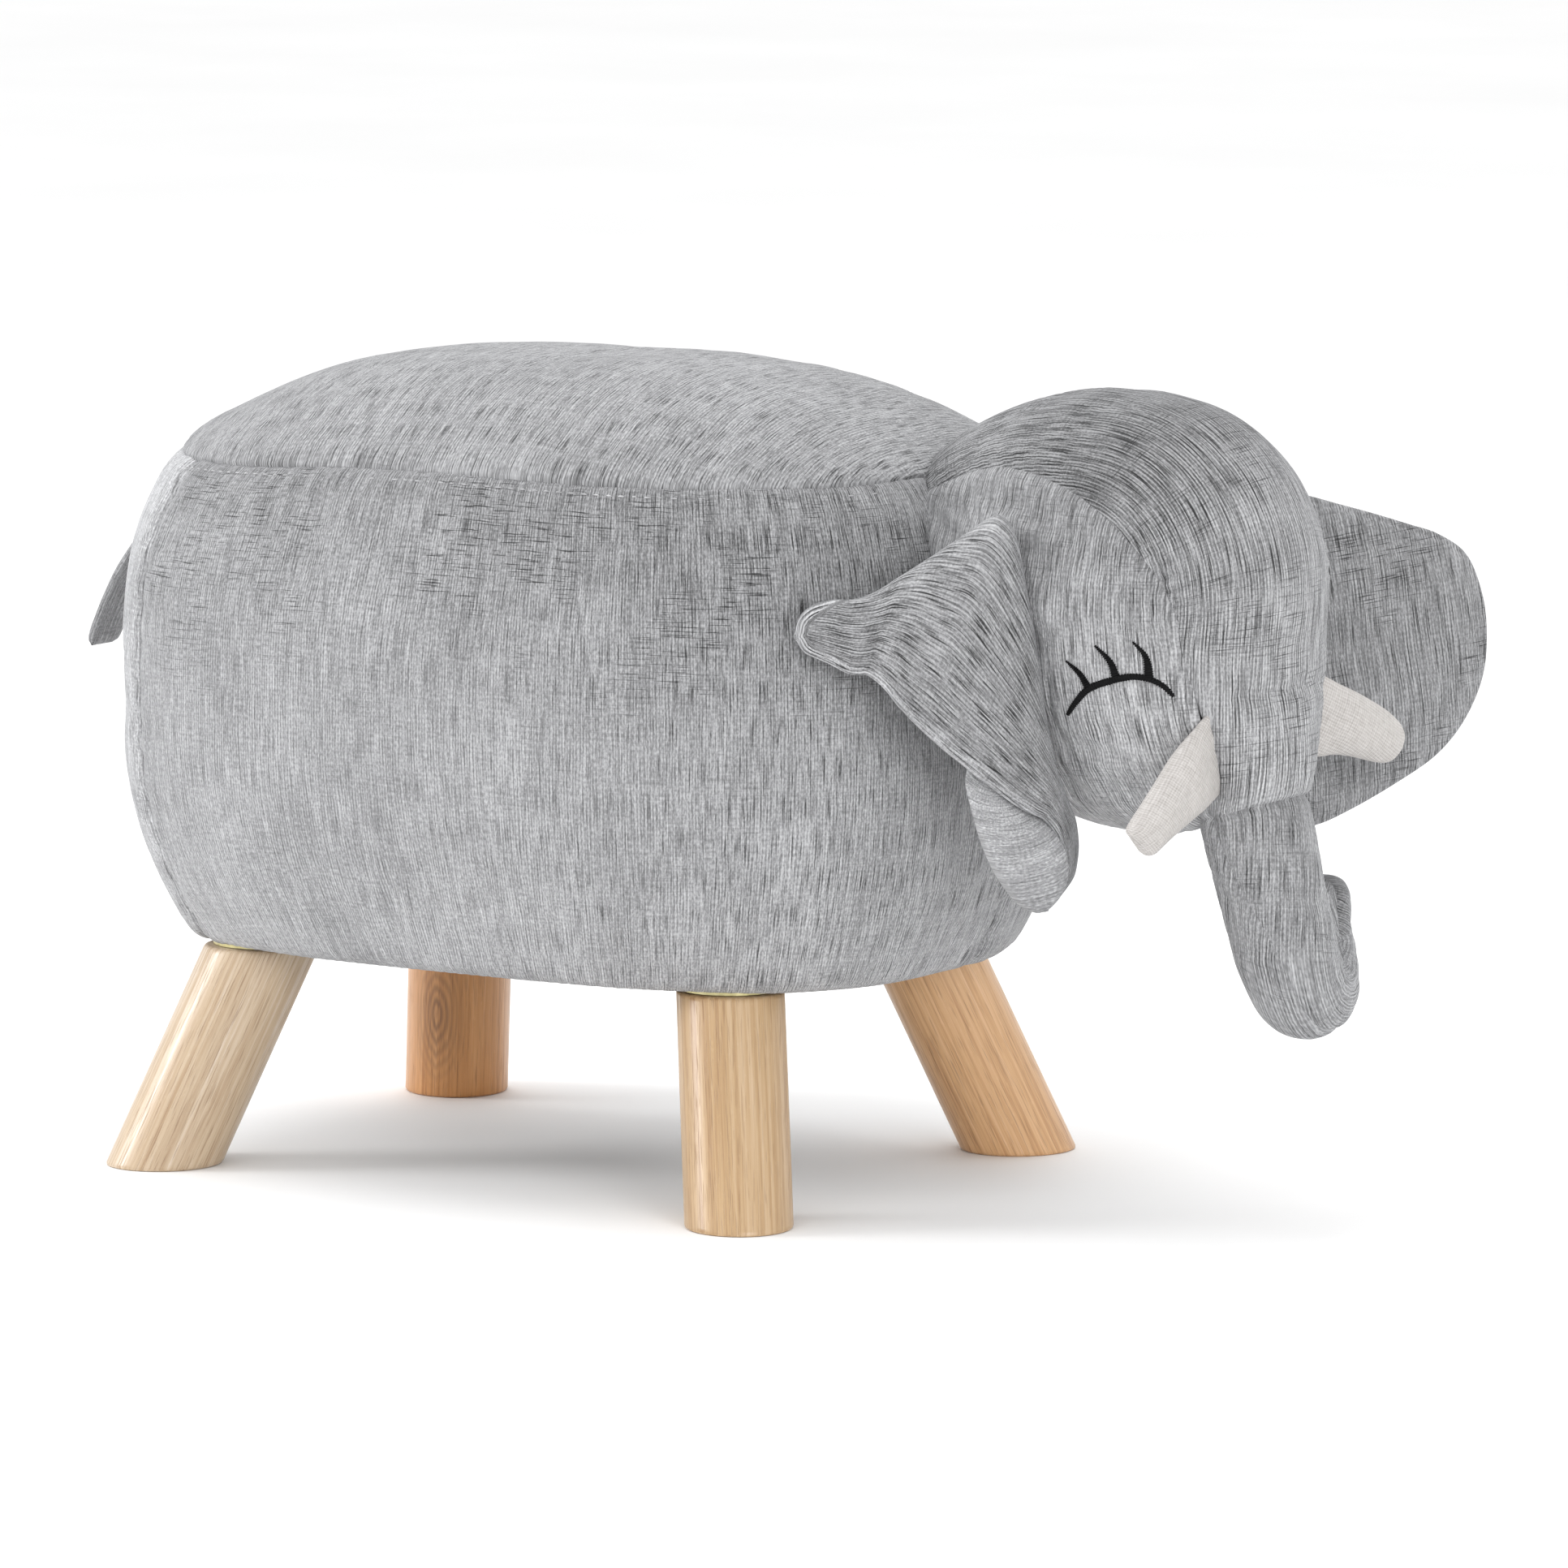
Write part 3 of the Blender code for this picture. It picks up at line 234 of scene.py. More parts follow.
def normals(points, wrap, middle):
    """Outward directions over a grid, away from the middle."""
    along_rows = np.gradient(points, axis=0)
    if wrap:
        along_columns = np.roll(points, -1, 1) - np.roll(points, 1, 1)
    else:
        along_columns = np.gradient(points, axis=1)
    out = unit(np.cross(along_rows, along_columns))
    if np.sum(out * (points - middle)) < 0:
        out = -out
    return out


def rough(points, size, seed=0.0):
    flat = points.reshape(-1, 3) / size + seed
    return np.array([noise.noise(Vector(p)) for p in flat]).reshape(points.shape[:-1])


def lengths(points, axis):
    """Distance run along an axis of a grid, from 0 at its start."""
    step = np.linalg.norm(np.diff(points, axis=axis), axis=-1)
    pad = [(0, 0), (0, 0)]
    pad[axis] = (1, 0)
    return np.cumsum(np.pad(step, pad), axis=axis)


def smooth(value):
    value = np.clip(value, 0, 1)
    return value * value * (3 - 2 * value)


def bump(distance, width):
    return np.exp(-(distance / width) ** 2)


def fall(distance, width):
    """1 at a seam, dying away from it."""
    return np.exp(-distance / width)


def loose(distance, width=0.006):
    """How freely cloth moves at a distance from where it is sewn, from 0 to 1."""
    return 1 - bump(distance, width)


def dome(distance, width):
    """Rises from 0 at an edge to 1 at the given width, like a quarter circle."""
    return np.sqrt(np.clip(1 - (1 - np.minimum(distance / width, 1)) ** 2, 0, 1))


def uneven(points, *layers):
    """Soft lumps in stuffed cloth: each layer has a height, a size and a seed."""
    return sum(height * rough(points, size, seed) for height, size, seed in layers)


def seam_dip(distance, depth, width, swell, place, spread):
    """The dip at a seam and the fullness beside it."""
    return swell * bump(distance - place, spread) - depth * fall(distance, width)


def seam_pucker(run, distance, sway, wave, depth, start=0.002):
    """Ripples across a seam: run is measured along it, and sway shifts them from place to place."""
    return np.sin(2 * math.pi * run / wave + sway) * fall(distance, depth) * smooth(distance / start)


def closed(grid):
    return np.concatenate([grid, grid[:, :1]], 1)


def run_along(path):
    """Distance run along a line of points."""
    return np.concatenate([[0], np.cumsum(np.linalg.norm(np.diff(path, axis=0), axis=1))])


def hermite(t, start, leave, end, arrive):
    """A curve from start to end, with the directions in which it leaves and arrives."""
    return ((2 * t ** 3 - 3 * t ** 2 + 1) * start + (t ** 3 - 2 * t ** 2 + t) * leave
            + (3 * t ** 2 - 2 * t ** 3) * end + (t ** 3 - t ** 2) * arrive)


def spline(points, share):
    """Places on the smooth curve through the given points, share running from 0 to 1."""
    points = np.asarray(points, float)
    spans = len(points) - 1
    share = np.asarray(share, float) * spans
    i = np.clip(share.astype(int), 0, spans - 1)
    t = (share - i)[..., None]
    p1, p2 = points[i], points[i + 1]
    p0 = np.where((i > 0)[..., None], points[np.maximum(i - 1, 0)], 2 * p1 - p2)
    p3 = np.where((i + 2 <= spans)[..., None], points[np.minimum(i + 2, spans)], 2 * p2 - p1)
    return 0.5 * (2 * p1 + (p2 - p0) * t + (2 * p0 - 5 * p1 + 4 * p2 - p3) * t ** 2
                  + (3 * p1 - p0 - 3 * p2 + p3) * t ** 3)


def even(points, share):
    """Like spline, but with share measured as distance run."""
    fine = spline(points, np.linspace(0, 1, 400))
    run = run_along(fine)
    where = np.asarray(share) * run[-1]
    return np.stack([np.interp(where, run, fine[:, k]) for k in range(fine.shape[1])], -1)


def curve(x, table):
    """Smooth values through a table of places and values."""
    xs, ys = table[:, 0], table[:, 1]
    slope = np.gradient(ys, xs)
    i = np.clip(np.searchsorted(xs, x) - 1, 0, len(xs) - 2)
    span = xs[i + 1] - xs[i]
    t = np.clip((x - xs[i]) / span, 0, 1)
    return hermite(t, ys[i], span * slope[i], ys[i + 1], span * slope[i + 1])


def near(points, line, count=None):
    """Distance of flat points from a flat line of points, smoothed into count points where that is given."""
    line = even(line, np.linspace(0, 1, count)) if count else np.asarray(line)
    flat = points.reshape(-1, 1, 2)
    a, step = line[:-1], np.diff(line, axis=0)
    share = np.clip(np.sum((flat - a) * step, -1) / np.maximum(np.sum(step * step, -1), 1e-12), 0, 1)
    gap = np.linalg.norm(flat - (a + step * share[..., None]), axis=-1)
    return gap.min(1).reshape(points.shape[:-1])


def ruled(one, two, v, over):
    """A flat grid between two curved edges, finer near them, with its shares and widths across."""
    u = 0.5 - 0.5 * np.cos(math.pi * np.linspace(0, 1, over))
    e1, e2 = even(one, v), even(two, v)
    flat = e1[:, None] * (1 - u)[None, :, None] + e2[:, None] * u[None, :, None]
    return flat, u, np.linalg.norm(e2 - e1, axis=1)


def finish(obj, slot, *replaced, body="stool"):
    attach(obj, body)
    if replaced:
        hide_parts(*replaced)


def finish_soft(obj, slot, replaced, body="stool"):
    finish(obj, slot, *replaced, body=body)


def finish_blended(obj, replaced):
    """For chenille that crosses a seam between the stool and a moving body: bakes its placing into its mesh and hides
    the solids it replaces.
    """
    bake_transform(obj)
    if replaced:
        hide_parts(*replaced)


# Materials

class Nodes:
    """Short words for building a material's node tree."""

    def __init__(self, name):
        self.material = bpy.data.materials.new(name)
        self.material.use_nodes = True
        self.tree = self.material.node_tree
        self.shader = self.tree.nodes["Principled BSDF"]

    def new(self, kind, **settings):
        node = self.tree.nodes.new(kind)
        for key, value in settings.items():
            setattr(node, key, value)
        return node

    def put(self, socket, value):
        if isinstance(value, bpy.types.NodeSocket):
            self.tree.links.new(value, socket)
        else:
            socket.default_value = value

    def math(self, operation, *values):
        node = self.new("ShaderNodeMath", operation=operation)
        for socket, value in zip(node.inputs, values):
            self.put(socket, value)
        return node.outputs[0]

    def place(self, source, scale, shift=(0, 0, 0), turn=(0, 0, 0)):
        node = self.new("ShaderNodeMapping")
        self.put(node.inputs["Vector"], source)
        node.inputs["Location"].default_value = shift
        node.inputs["Rotation"].default_value = turn
        node.inputs["Scale"].default_value = scale
        return node.outputs[0]

    def noise(self, source, scale, detail=2.0, roughness=0.5, distortion=0.0, shift=(0, 0, 0)):
        node = self.new("ShaderNodeTexNoise")
        self.put(node.inputs["Vector"], self.place(source, scale, shift))
        node.inputs["Scale"].default_value = 1.0
        node.inputs["Detail"].default_value = detail
        node.inputs["Roughness"].default_value = roughness
        node.inputs["Distortion"].default_value = distortion
        return node.outputs["Fac"]

    def spread(self, value, low, high, to_low=0.0, to_high=1.0):
        node = self.new("ShaderNodeMapRange", clamp=True)
        self.put(node.inputs["Value"], value)
        for key, number in (("From Min", low), ("From Max", high), ("To Min", to_low), ("To Max", to_high)):
            node.inputs[key].default_value = number
        return node.outputs[0]

    def ramp(self, value, stops):
        node = self.new("ShaderNodeValToRGB")
        self.put(node.inputs[0], value)
        elements = node.color_ramp.elements
        while len(elements) < len(stops):
            elements.new(0.5)
        for element, (place, colour) in zip(elements, stops):
            element.position = place
            element.color = (*colour, 1)
        return node.outputs[0]

    def mix(self, share, a, b, kind="MIX"):
        node = self.new("ShaderNodeMix", data_type="RGBA", blend_type=kind)
        self.put(node.inputs[0], share)
        for socket, value in ((node.inputs[6], a), (node.inputs[7], b)):
            self.put(socket, value if isinstance(value, bpy.types.NodeSocket) else (*value, 1))
        return node.outputs[2]

    def relief(self, height, distance, strength):
        node = self.new("ShaderNodeBump")
        node.inputs["Strength"].default_value = strength
        node.inputs["Distance"].default_value = distance
        self.put(node.inputs["Height"], height)
        return node.outputs[0]

    def set(self, **sockets):
        for key, value in sockets.items():
            self.put(self.shader.inputs[key.replace("_", " ")], value)
        return self.material


def cloth_coords(n):
    return n.new("ShaderNodeUVMap", uv_map="cloth").outputs[0]


def solid_mm(n):
    """Places in the solid, in millimetres."""
    return n.place(n.new("ShaderNodeTexCoord").outputs["Object"], (1000, 1000, 1000))


RIB_MM = 1.4
PILE_TINT, PILE_TONES = (0.985, 0.99, 1.015), (0.045, 0.262, 0.70)


def chenille(name, tone=1.0, slub=0.5, shift=0.0, fades=(), grain=(0.9, 12, 0.5), dash=(0.55, 16, 0.30), mottle=0.2,
             ribs=0.075, slub_from=None, dash_from=None, stronger=None):
    """Ribbed chenille: v runs along the pile ribs, in metres. A fade changes the tone by place on the cloth. All panels
    are one grey chenille, toned panel by panel to how bright each looks where it stands, so the tones and several fades
    are partly painted light and shade.

    Grain is the pile's streaks and dash the dark lines between ribs: width and length in mm, and weight.
    Slub is the weight of the dark lines across, and stronger raises the contrast by place.
    """
    n = Nodes(name)
    cloth = cloth_coords(n)
    at = n.place(cloth, (1000, 1000, 1), (shift, 3 * shift, 0))
    split, plain = n.new("ShaderNodeSeparateXYZ"), n.new("ShaderNodeSeparateXYZ")
    n.put(split.inputs[0], at)
    n.put(plain.inputs[0], cloth)
    sway = n.noise(at, (0.10, 0.02, 1), shift=(5, 2, 0))
    phase = n.math("MULTIPLY_ADD", split.outputs["X"], 2 * math.pi / RIB_MM, n.math("MULTIPLY", sway, 12.0))
    rib = n.math("SINE", phase)
    # Layers of streaks: width and length in mm, detail and weight
    layers = ((*grain[:2], 2.0, grain[2]), (3.0, 34, 2.0, 0.30), (13, 1.15, 2.0, 0.24), (0.7, 1.6, 1.0, 0.62),
              (55, 95, 2.0, mottle))
    start = 0.5 + 0.2 * dash[2] - 0.5 * sum(layer[3] for layer in layers)
    value = n.math("MULTIPLY_ADD", rib, ribs, start)
    parts = []
    for k, (across, along, detail, weight) in enumerate(layers):
        parts.append(n.noise(at, (1 / across, 1 / along, 1), detail, 0.55, shift=(17 * k, 29 * k, 0)))
        value = n.math("MULTIPLY_ADD", parts[-1], weight, value)
    gaps = n.noise(at, (1 / dash[0], 1 / dash[1], 1), 1.0, shift=(57, 23, 0))
    dark_line = n.spread(gaps, 0.55, 0.70)
    if dash_from:
        dark_line = n.math("MULTIPLY", dark_line, n.spread(plain.outputs["X"], *dash_from, 0.35, 1.0))
    value = n.math("MULTIPLY_ADD", dark_line, -dash[2], value)
    cross = n.noise(at, (1 / 17, 1 / 0.62, 1), 2.0, 0.55, 0.04, (77, 41, 0))
    where = n.noise(at, (1 / 45, 1 / 45, 1), 2.0, 0.5, 0.2, (19, 63, 0))
    lines = n.math("MULTIPLY", n.spread(cross, 0.57, 0.66), n.spread(where, 0.46, 0.60))
    if slub_from:
        lines = n.math("MULTIPLY", lines, n.spread(plain.outputs["Y"], *slub_from, 0.12, 1.0))
    value = n.math("MULTIPLY_ADD", lines, -0.36 * slub, value)
    if stronger:
        axis, low, high, most = stronger
        contrast = n.spread(plain.outputs[axis], low, high, 1.0, most)
        value = n.math("MULTIPLY_ADD", n.math("SUBTRACT", value, 0.5), contrast, 0.5)
    dark, mid, light = (np.array(PILE_TINT) * tone * c for c in PILE_TONES)
    colour = n.ramp(value, ((0.0, dark), (0.5, mid), (1.0, light)))
    for axis, low, high, stops in fades:
        change = n.ramp(n.spread(plain.outputs[axis], low, high), [(place, (c, c, c)) for place, c in stops])
        colour = n.mix(1.0, colour, change, "MULTIPLY")
    height = n.math("MULTIPLY_ADD", rib, 0.12, n.math("MULTIPLY_ADD", parts[3], 0.7, parts[0]))
    height = n.math("MULTIPLY_ADD", n.math("ADD", lines, dark_line), -0.4, height)
    return n.set(Base_Color=colour, Roughness=n.spread(parts[0], 0.25, 0.75, 0.95, 0.70),
                 Normal=n.relief(height, 0.0009, 0.6), Sheen_Weight=0.22, Sheen_Roughness=0.45,
                 Sheen_Tint=(0.92, 0.93, 0.96, 1), Specular_IOR_Level=0.18)


def linen(name):
    n = Nodes(name)
    at = n.place(cloth_coords(n), (1000, 1000, 1))
    waves = []
    for direction, scale in (("X", 0.235), ("Y", 0.27)):
        wave = n.new("ShaderNodeTexWave", wave_type="BANDS", bands_direction=direction)
        n.put(wave.inputs["Vector"], n.place(at, (scale, scale, 1)))
        for key, number in (("Scale", 1.0), ("Distortion", 1.4), ("Detail", 1.0), ("Detail Scale", 0.8)):
            wave.inputs[key].default_value = number
        waves.append(wave.outputs["Fac"])
    slub = n.noise(at, (0.12, 0.9, 1), 2.0, 0.6)
    slub_two = n.noise(at, (0.9, 0.12, 1), 2.0, 0.6, shift=(9, 4, 0))
    weave = n.math("ADD", n.math("MULTIPLY", waves[0], 0.5), n.math("MULTIPLY", waves[1], 0.5))
    slubs = n.math("ADD", n.spread(slub, 0.3, 0.7), n.spread(slub_two, 0.3, 0.7))
    value = n.math("MULTIPLY_ADD", slubs, 0.27, n.math("MULTIPLY", weave, 0.46))
    colour = n.ramp(value, ((0.10, (0.345, 0.323, 0.306)), (0.5, (0.467, 0.444, 0.428)),
                            (0.9, (0.585, 0.564, 0.548))))
    return n.set(Base_Color=colour, Roughness=n.spread(weave, 0, 1, 0.95, 0.8),
                 Normal=n.relief(n.math("MULTIPLY_ADD", slub, 0.8, weave), 0.0006, 0.6),
                 Sheen_Weight=0.12, Sheen_Roughness=0.5)


def stitching(name, colour, gloss, sheen):
    """Twisted or satin thread: v runs along the strand lay."""
    n = Nodes(name)
    at = n.place(cloth_coords(n), (1000, 1000, 1))
    strands = n.noise(at, (4.2, 0.25, 1), 1.0)
    wear = n.noise(at, (0.5, 0.5, 1), 2.0, 0.6)
    value = n.math("MULTIPLY", n.spread(strands, 0.3, 0.7), 0.7)
    value = n.math("ADD", value, n.math("MULTIPLY", wear, 0.4))
    dark, light = tuple(c * 0.45 for c in colour), tuple(min(c * 1.8, 1) for c in colour)
    return n.set(Base_Color=n.ramp(value, ((0.1, dark), (0.55, colour), (1.0, light))),
                 Roughness=n.spread(strands, 0.2, 0.8, 0.75, 0.45), Normal=n.relief(strands, 0.0004, 0.6),
                 Sheen_Weight=sheen, Specular_IOR_Level=gloss)


KNOT_STRETCH = 0.32


def rubberwood(name, foot, turn, seed, tone=(1, 1, 1), knots=()):
    """Clear lacquered rubberwood. The grain runs along the leg, which stands on its foot at the given turn."""
    n = Nodes(name)
    place = -(Matrix(turn) @ Vector(foot))
    angles = Matrix(turn).to_euler()
    source = n.place(n.new("ShaderNodeTexCoord").outputs["Object"], (1, 1, 1), place, angles)
    at = n.place(source, (1000, 1000, 1000), (seed * 37.0, seed * 61.0, seed * 113.0))
    sway = n.noise(at, (0.035, 0.035, 0.005))
    ring = n.new("ShaderNodeTexWave", wave_type="RINGS", rings_direction="Z", wave_profile="SAW")
    heart = (3.4 + seed, 4.6 - seed, 0.4 * seed)
    n.put(ring.inputs["Vector"], n.place(source, (150, 150, 9), heart, (0.05, 0.07, 0)))
    for key, number in (("Scale", 0.55), ("Distortion", 2.6), ("Detail", 2.0), ("Detail Scale", 0.7)):
        ring.inputs[key].default_value = number
    streak = n.noise(at, (0.62, 0.62, 0.011), 3.0, 0.6)
    pore = n.noise(at, (1.9, 1.9, 0.06), 1.0, shift=(5, 9, 3))
    ray = n.noise(at, (0.9, 0.9, 0.30), 1.0, shift=(15, 2, 8))
    pores = n.math("MULTIPLY", n.spread(pore, 0.58, 0.68), n.spread(sway, 0.3, 0.6, 0.5, 1.0))
    rings = n.math("MULTIPLY", ring.outputs["Fac"], 0.22)
    value = n.math("MULTIPLY_ADD", n.spread(streak, 0.28, 0.72), 0.50, rings)
    value = n.math("MULTIPLY_ADD", n.spread(sway, 0.3, 0.7), 0.34, value)
    value = n.math("MULTIPLY_ADD", n.spread(ray, 0.62, 0.8), -0.10, value)
    stops = ((0.08, (0.53, 0.385, 0.245)), (0.5, (0.435, 0.285, 0.146)), (0.98, (0.285, 0.155, 0.064)))
    # The tone factors carry painted light and shade as well as the leg's own wood colour.
    colour = n.ramp(value, [(at_value, tuple(c * t for c, t in zip(rgb, tone))) for at_value, rgb in stops])
    colour = n.mix(n.math("MULTIPLY", pores, 0.42), colour, (0.165, 0.080, 0.034))
    for spot, size in knots:
        knot = n.new("ShaderNodeVectorMath", operation="DISTANCE")
        n.put(knot.inputs[0], n.place(source, (1, 1, KNOT_STRETCH)))
        knot.inputs[1].default_value = (spot[0], spot[1], spot[2] * KNOT_STRETCH)
        wobble = n.math("MULTIPLY_ADD", n.math("SUBTRACT", streak, 0.5), size * 0.5, knot.outputs["Value"])
        growth = n.math("MULTIPLY_ADD", n.math("SINE", n.math("MULTIPLY", wobble, 3000.0)), 0.30, 0.62)
        growth = n.math("MULTIPLY", growth, n.spread(wobble, size * 0.3, size * 2.4, 0.9, 0.0))
        colour = n.mix(growth, colour, (0.15, 0.068, 0.028))
    return n.set(Base_Color=colour, Roughness=n.spread(pores, 0, 1, 0.36, 0.60),
                 Normal=n.relief(n.math("MULTIPLY", pores, -1.0), 0.0004, 0.35),
                 Coat_Weight=0.25, Coat_Roughness=0.25)


def plywood(name):
    n = Nodes(name)
    at = solid_mm(n)
    grain = n.noise(at, (0.01, 0.35, 0.9), 4.0, 0.6)
    mark = n.noise(at, (0.05, 0.05, 0.05), shift=(8, 1, 2))
    value = n.math("ADD", n.math("MULTIPLY", grain, 0.8), n.math("MULTIPLY", mark, 0.3))
    return n.set(Base_Color=n.ramp(value, ((0.3, (0.66, 0.52, 0.34)), (0.8, (0.47, 0.33, 0.19)))),
                 Roughness=n.spread(grain, 0, 1, 0.6, 0.85), Normal=n.relief(grain, 0.0004, 0.4))


def metal(name, light, dark, rough_low, rough_high):
    n = Nodes(name)
    at = solid_mm(n)
    cloud = n.noise(at, (0.12, 0.12, 0.12), 3.0, 0.6)
    fleck = n.noise(at, (1.6, 1.6, 1.6))
    colour = n.ramp(cloud, ((0.3, dark), (0.7, light)))
    return n.set(Base_Color=colour, Metallic=1.0, Roughness=n.spread(fleck, 0.3, 0.7, rough_low, rough_high),
                 Normal=n.relief(fleck, 0.0001, 0.3))


def nonwoven(name):
    n = Nodes(name)
    at = solid_mm(n)
    dots = n.new("ShaderNodeTexVoronoi", feature="F1")
    n.put(dots.inputs["Vector"], n.place(at, (0.6, 0.6, 0.05)))
    dots.inputs["Scale"].default_value = 1.0
    dots.inputs["Randomness"].default_value = 0.15
    fibre = n.noise(at, (0.9, 0.9, 0.9), 3.0, 0.6)
    height = n.math("ADD", n.spread(dots.outputs["Distance"], 0.1, 0.4), n.math("MULTIPLY", fibre, 0.5))
    tones = ((0.1, (0.012, 0.012, 0.013)), (0.9, (0.045, 0.045, 0.048)))
    return n.set(Base_Color=n.ramp(n.math("MULTIPLY", height, 0.7), tones),
                 Roughness=n.spread(fibre, 0.3, 0.7, 0.7, 0.95), Normal=n.relief(height, 0.0004, 0.6))


# Side fades: the fade along Y makes the sides darker toward the seat seam and lighter toward the hem, partly the pile's
# lie and partly painted shade. The fade along X is painted light at the front ends of the sides, mostly on the right
# side, lifting the shade that the head and ear cast there.
SIDE = chenille("chenille_side", 0.805, 1.5, 0.0,
                [("Y", -0.23, 0.0, ((0.0, 1.20), (0.5, 1.06), (0.78, 0.845), (1.0, 0.72))),
                 ("X", -0.14, 0.06, ((0.0, 1.0), (0.4, 1.07), (0.7, 1.07), (1.0, 1.0)))],
                (0.85, 14, 0.46), (0.5, 16, 0.54), 0.24, slub_from=(-0.11, -0.05), dash_from=(-0.32, -0.10),
                stronger=("Y", -0.11, -0.03, 1.3))
# The rear panel is the same chenille toned much lighter than the sides: painted sheen and painted light.
REAR = chenille("chenille_rear", 1.23, 0.3, 140, (), (0.9, 12, 0.42))
TOP = chenille("chenille_seat", 0.78, 0.2, 310, (), (0.75, 16, 0.44), (0.5, 12, 0.52), 0.16)
# Forehead fade: lighter at the foot of the muzzle, which is painted light; much darker over the crown and toward the
# nape, partly the pile's lie and partly painted shade.
BROW = chenille("chenille_forehead", 0.73, 1.1, 520,
                [("Y", 0.0, 0.30, ((0.0, 1.26), (0.4, 0.95), (0.62, 0.535), (0.8, 0.535), (1.0, 0.68)))],
                (0.7, 22, 0.98), (0.55, 30, 0.60), ribs=0.13, stronger=("Y", 0.10, 0.22, 1.7))
# Cheek fades are painted light and shade: lighter low down and at the back by the neck, darker toward the crown and
# where the near ear shades the cheek.
CHEEK = chenille("chenille_cheek", 0.91, 0.4, 730,
                 [("X", -0.06, 0.02, ((0.0, 1.10), (0.25, 1.06), (0.5, 0.95), (1.0, 1.0))),
                  ("Y", -0.06, 0.06, ((0.0, 1.16), (0.4, 1.02), (1.0, 0.73)))],
                 (0.75, 16, 0.74), (0.5, 18, 0.50), ribs=0.10)
# The trunk fade is a painted shadow: it darkens the curled tip where it lies behind the shaft.
TRUNK = chenille("chenille_trunk", 0.81, 0.5, 910, [("Y", 0.118, 0.150, ((0.0, 1.0), (0.5, 0.78), (1.0, 0.42)))],
                 (0.85, 18, 0.66), (0.55, 22, 0.46), ribs=0.09)
# The near ear's first fade paints a highlight band along its rolled lower edge, with a line of painted shade just
# inside it.
EAR_NEAR = chenille("chenille_right_ear", 0.68, 0.1, 1130,
                    [("X", 0.058, 0.067, ((0.0, 1.35), (0.6, 1.30), (0.8, 0.85), (1.0, 1.0))),
                     ("Y", 0.19, 0.235, ((0.0, 1.0), (1.0, 0.78)))],
                    (0.6, 17, 0.98), (0.5, 20, 0.62), ribs=0.11, stronger=("Y", 0.18, 0.225, 1.7))
# The lobe is the same chenille toned much lighter, which is painted sheen; its fade is painted shade, darker toward the
# lobe's lower end.
LOBE = chenille("chenille_lobe", 1.20, 0.0, 1730, [("X", 0.02, 0.07, ((0.0, 1.08), (0.6, 1.04), (1.0, 0.80)))],
                (0.7, 26, 0.46), (0.5, 20, 0.12), 0.1, 0.04)
EAR_FAR = chenille("chenille_left_ear", 0.71, 1.5, 1370, (), (0.85, 18, 0.66), (0.55, 20, 0.50), ribs=0.09)
TAIL = chenille("chenille_tail", 0.85, 0.3, 1510)
LINEN = linen("linen_tusk")
BLACK = stitching("thread_black", (0.0035, 0.0035, 0.004), 0.12, 0.0)
PALE = stitching("thread_grey", (0.36, 0.36, 0.37), 0.5, 0.1)


# Body

def plan(angle, length, width):
    c, s = np.cos(angle), np.sin(angle)
    reach = (np.abs(c) ** BODY_SQUARENESS + np.abs(s) ** BODY_SQUARENESS) ** (-1 / BODY_SQUARENESS)
    return BODY_FORWARD + length / 2 * reach * c, width / 2 * reach * s


def side_inset(z):
    high = SEAM_INSET * (np.clip(z - WIDEST_Z, 0, None) / (SEAM_Z - WIDEST_Z)) ** SEAM_CURVE
    low = UNDERSIDE_INSET * (np.clip(WIDEST_Z - z, 0, None) / (WIDEST_Z - UNDERSIDE_Z)) ** UNDERSIDE_CURVE
    corner = np.clip(EDGE_ROUND - (z - UNDERSIDE_Z), 0, EDGE_ROUND)
    return high + low + EDGE_ROUND - np.sqrt(EDGE_ROUND ** 2 - corner ** 2)


def seam_droop(angle):
    return SEAM_DROOP * np.sin(2 * angle) ** 2 * (1 - np.cos(angle)) / 2


def side_point(angle, z, more_inset=0.0):
    inset = side_inset(z) + more_inset
    x, y = plan(angle, BODY_LENGTH - 2 * inset, BODY_WIDTH - 2 * inset)
    z = z - seam_droop(angle) * np.clip((z - DECK_Z) / (SEAM_Z - DECK_Z), 0, None)
    return FEET + np.stack([x, y, z], -1)


def crown_point(angle, share):
    x, y = plan(angle, (BODY_LENGTH - 2 * SEAM_INSET) * share, (BODY_WIDTH - 2 * SEAM_INSET) * share)
    z = SEAM_Z - seam_droop(angle) * share ** 2 + CROWN_HEIGHT * (1 - share ** CROWN_CURVE)
    return FEET + np.stack([x, y, z], -1)


def side_rows():
    """Heights and extra insets of the rows, from the hem under the base up to the seat seam."""
    hem = [(UNDERSIDE_Z, HEM * (1 - i / 3)) for i in range(3)]
    edge = [(UNDERSIDE_Z + EDGE_ROUND * (1 - math.cos(a)), 0.0) for a in np.linspace(0.0, math.pi / 2, 9)[:-1]]
    side = [(z, 0.0) for z in np.linspace(UNDERSIDE_Z + EDGE_ROUND, SEAM_Z - 0.014, 58)]
    top = [(SEAM_Z - d, 0.0) for d in (0.0115, 0.009, 0.007, 0.0052, 0.0037, 0.0024, 0.0014, 0.0006, 0.0)]
    return np.array(hem + edge + side + top)


# Creases below the near ear: the turn of each in degrees, and its height
CREASE_Z, CREASES = 0.142, ((-16.5, 0.0010), (-11.5, -0.0012), (-6.5, 0.0011), (-2.0, -0.0009))


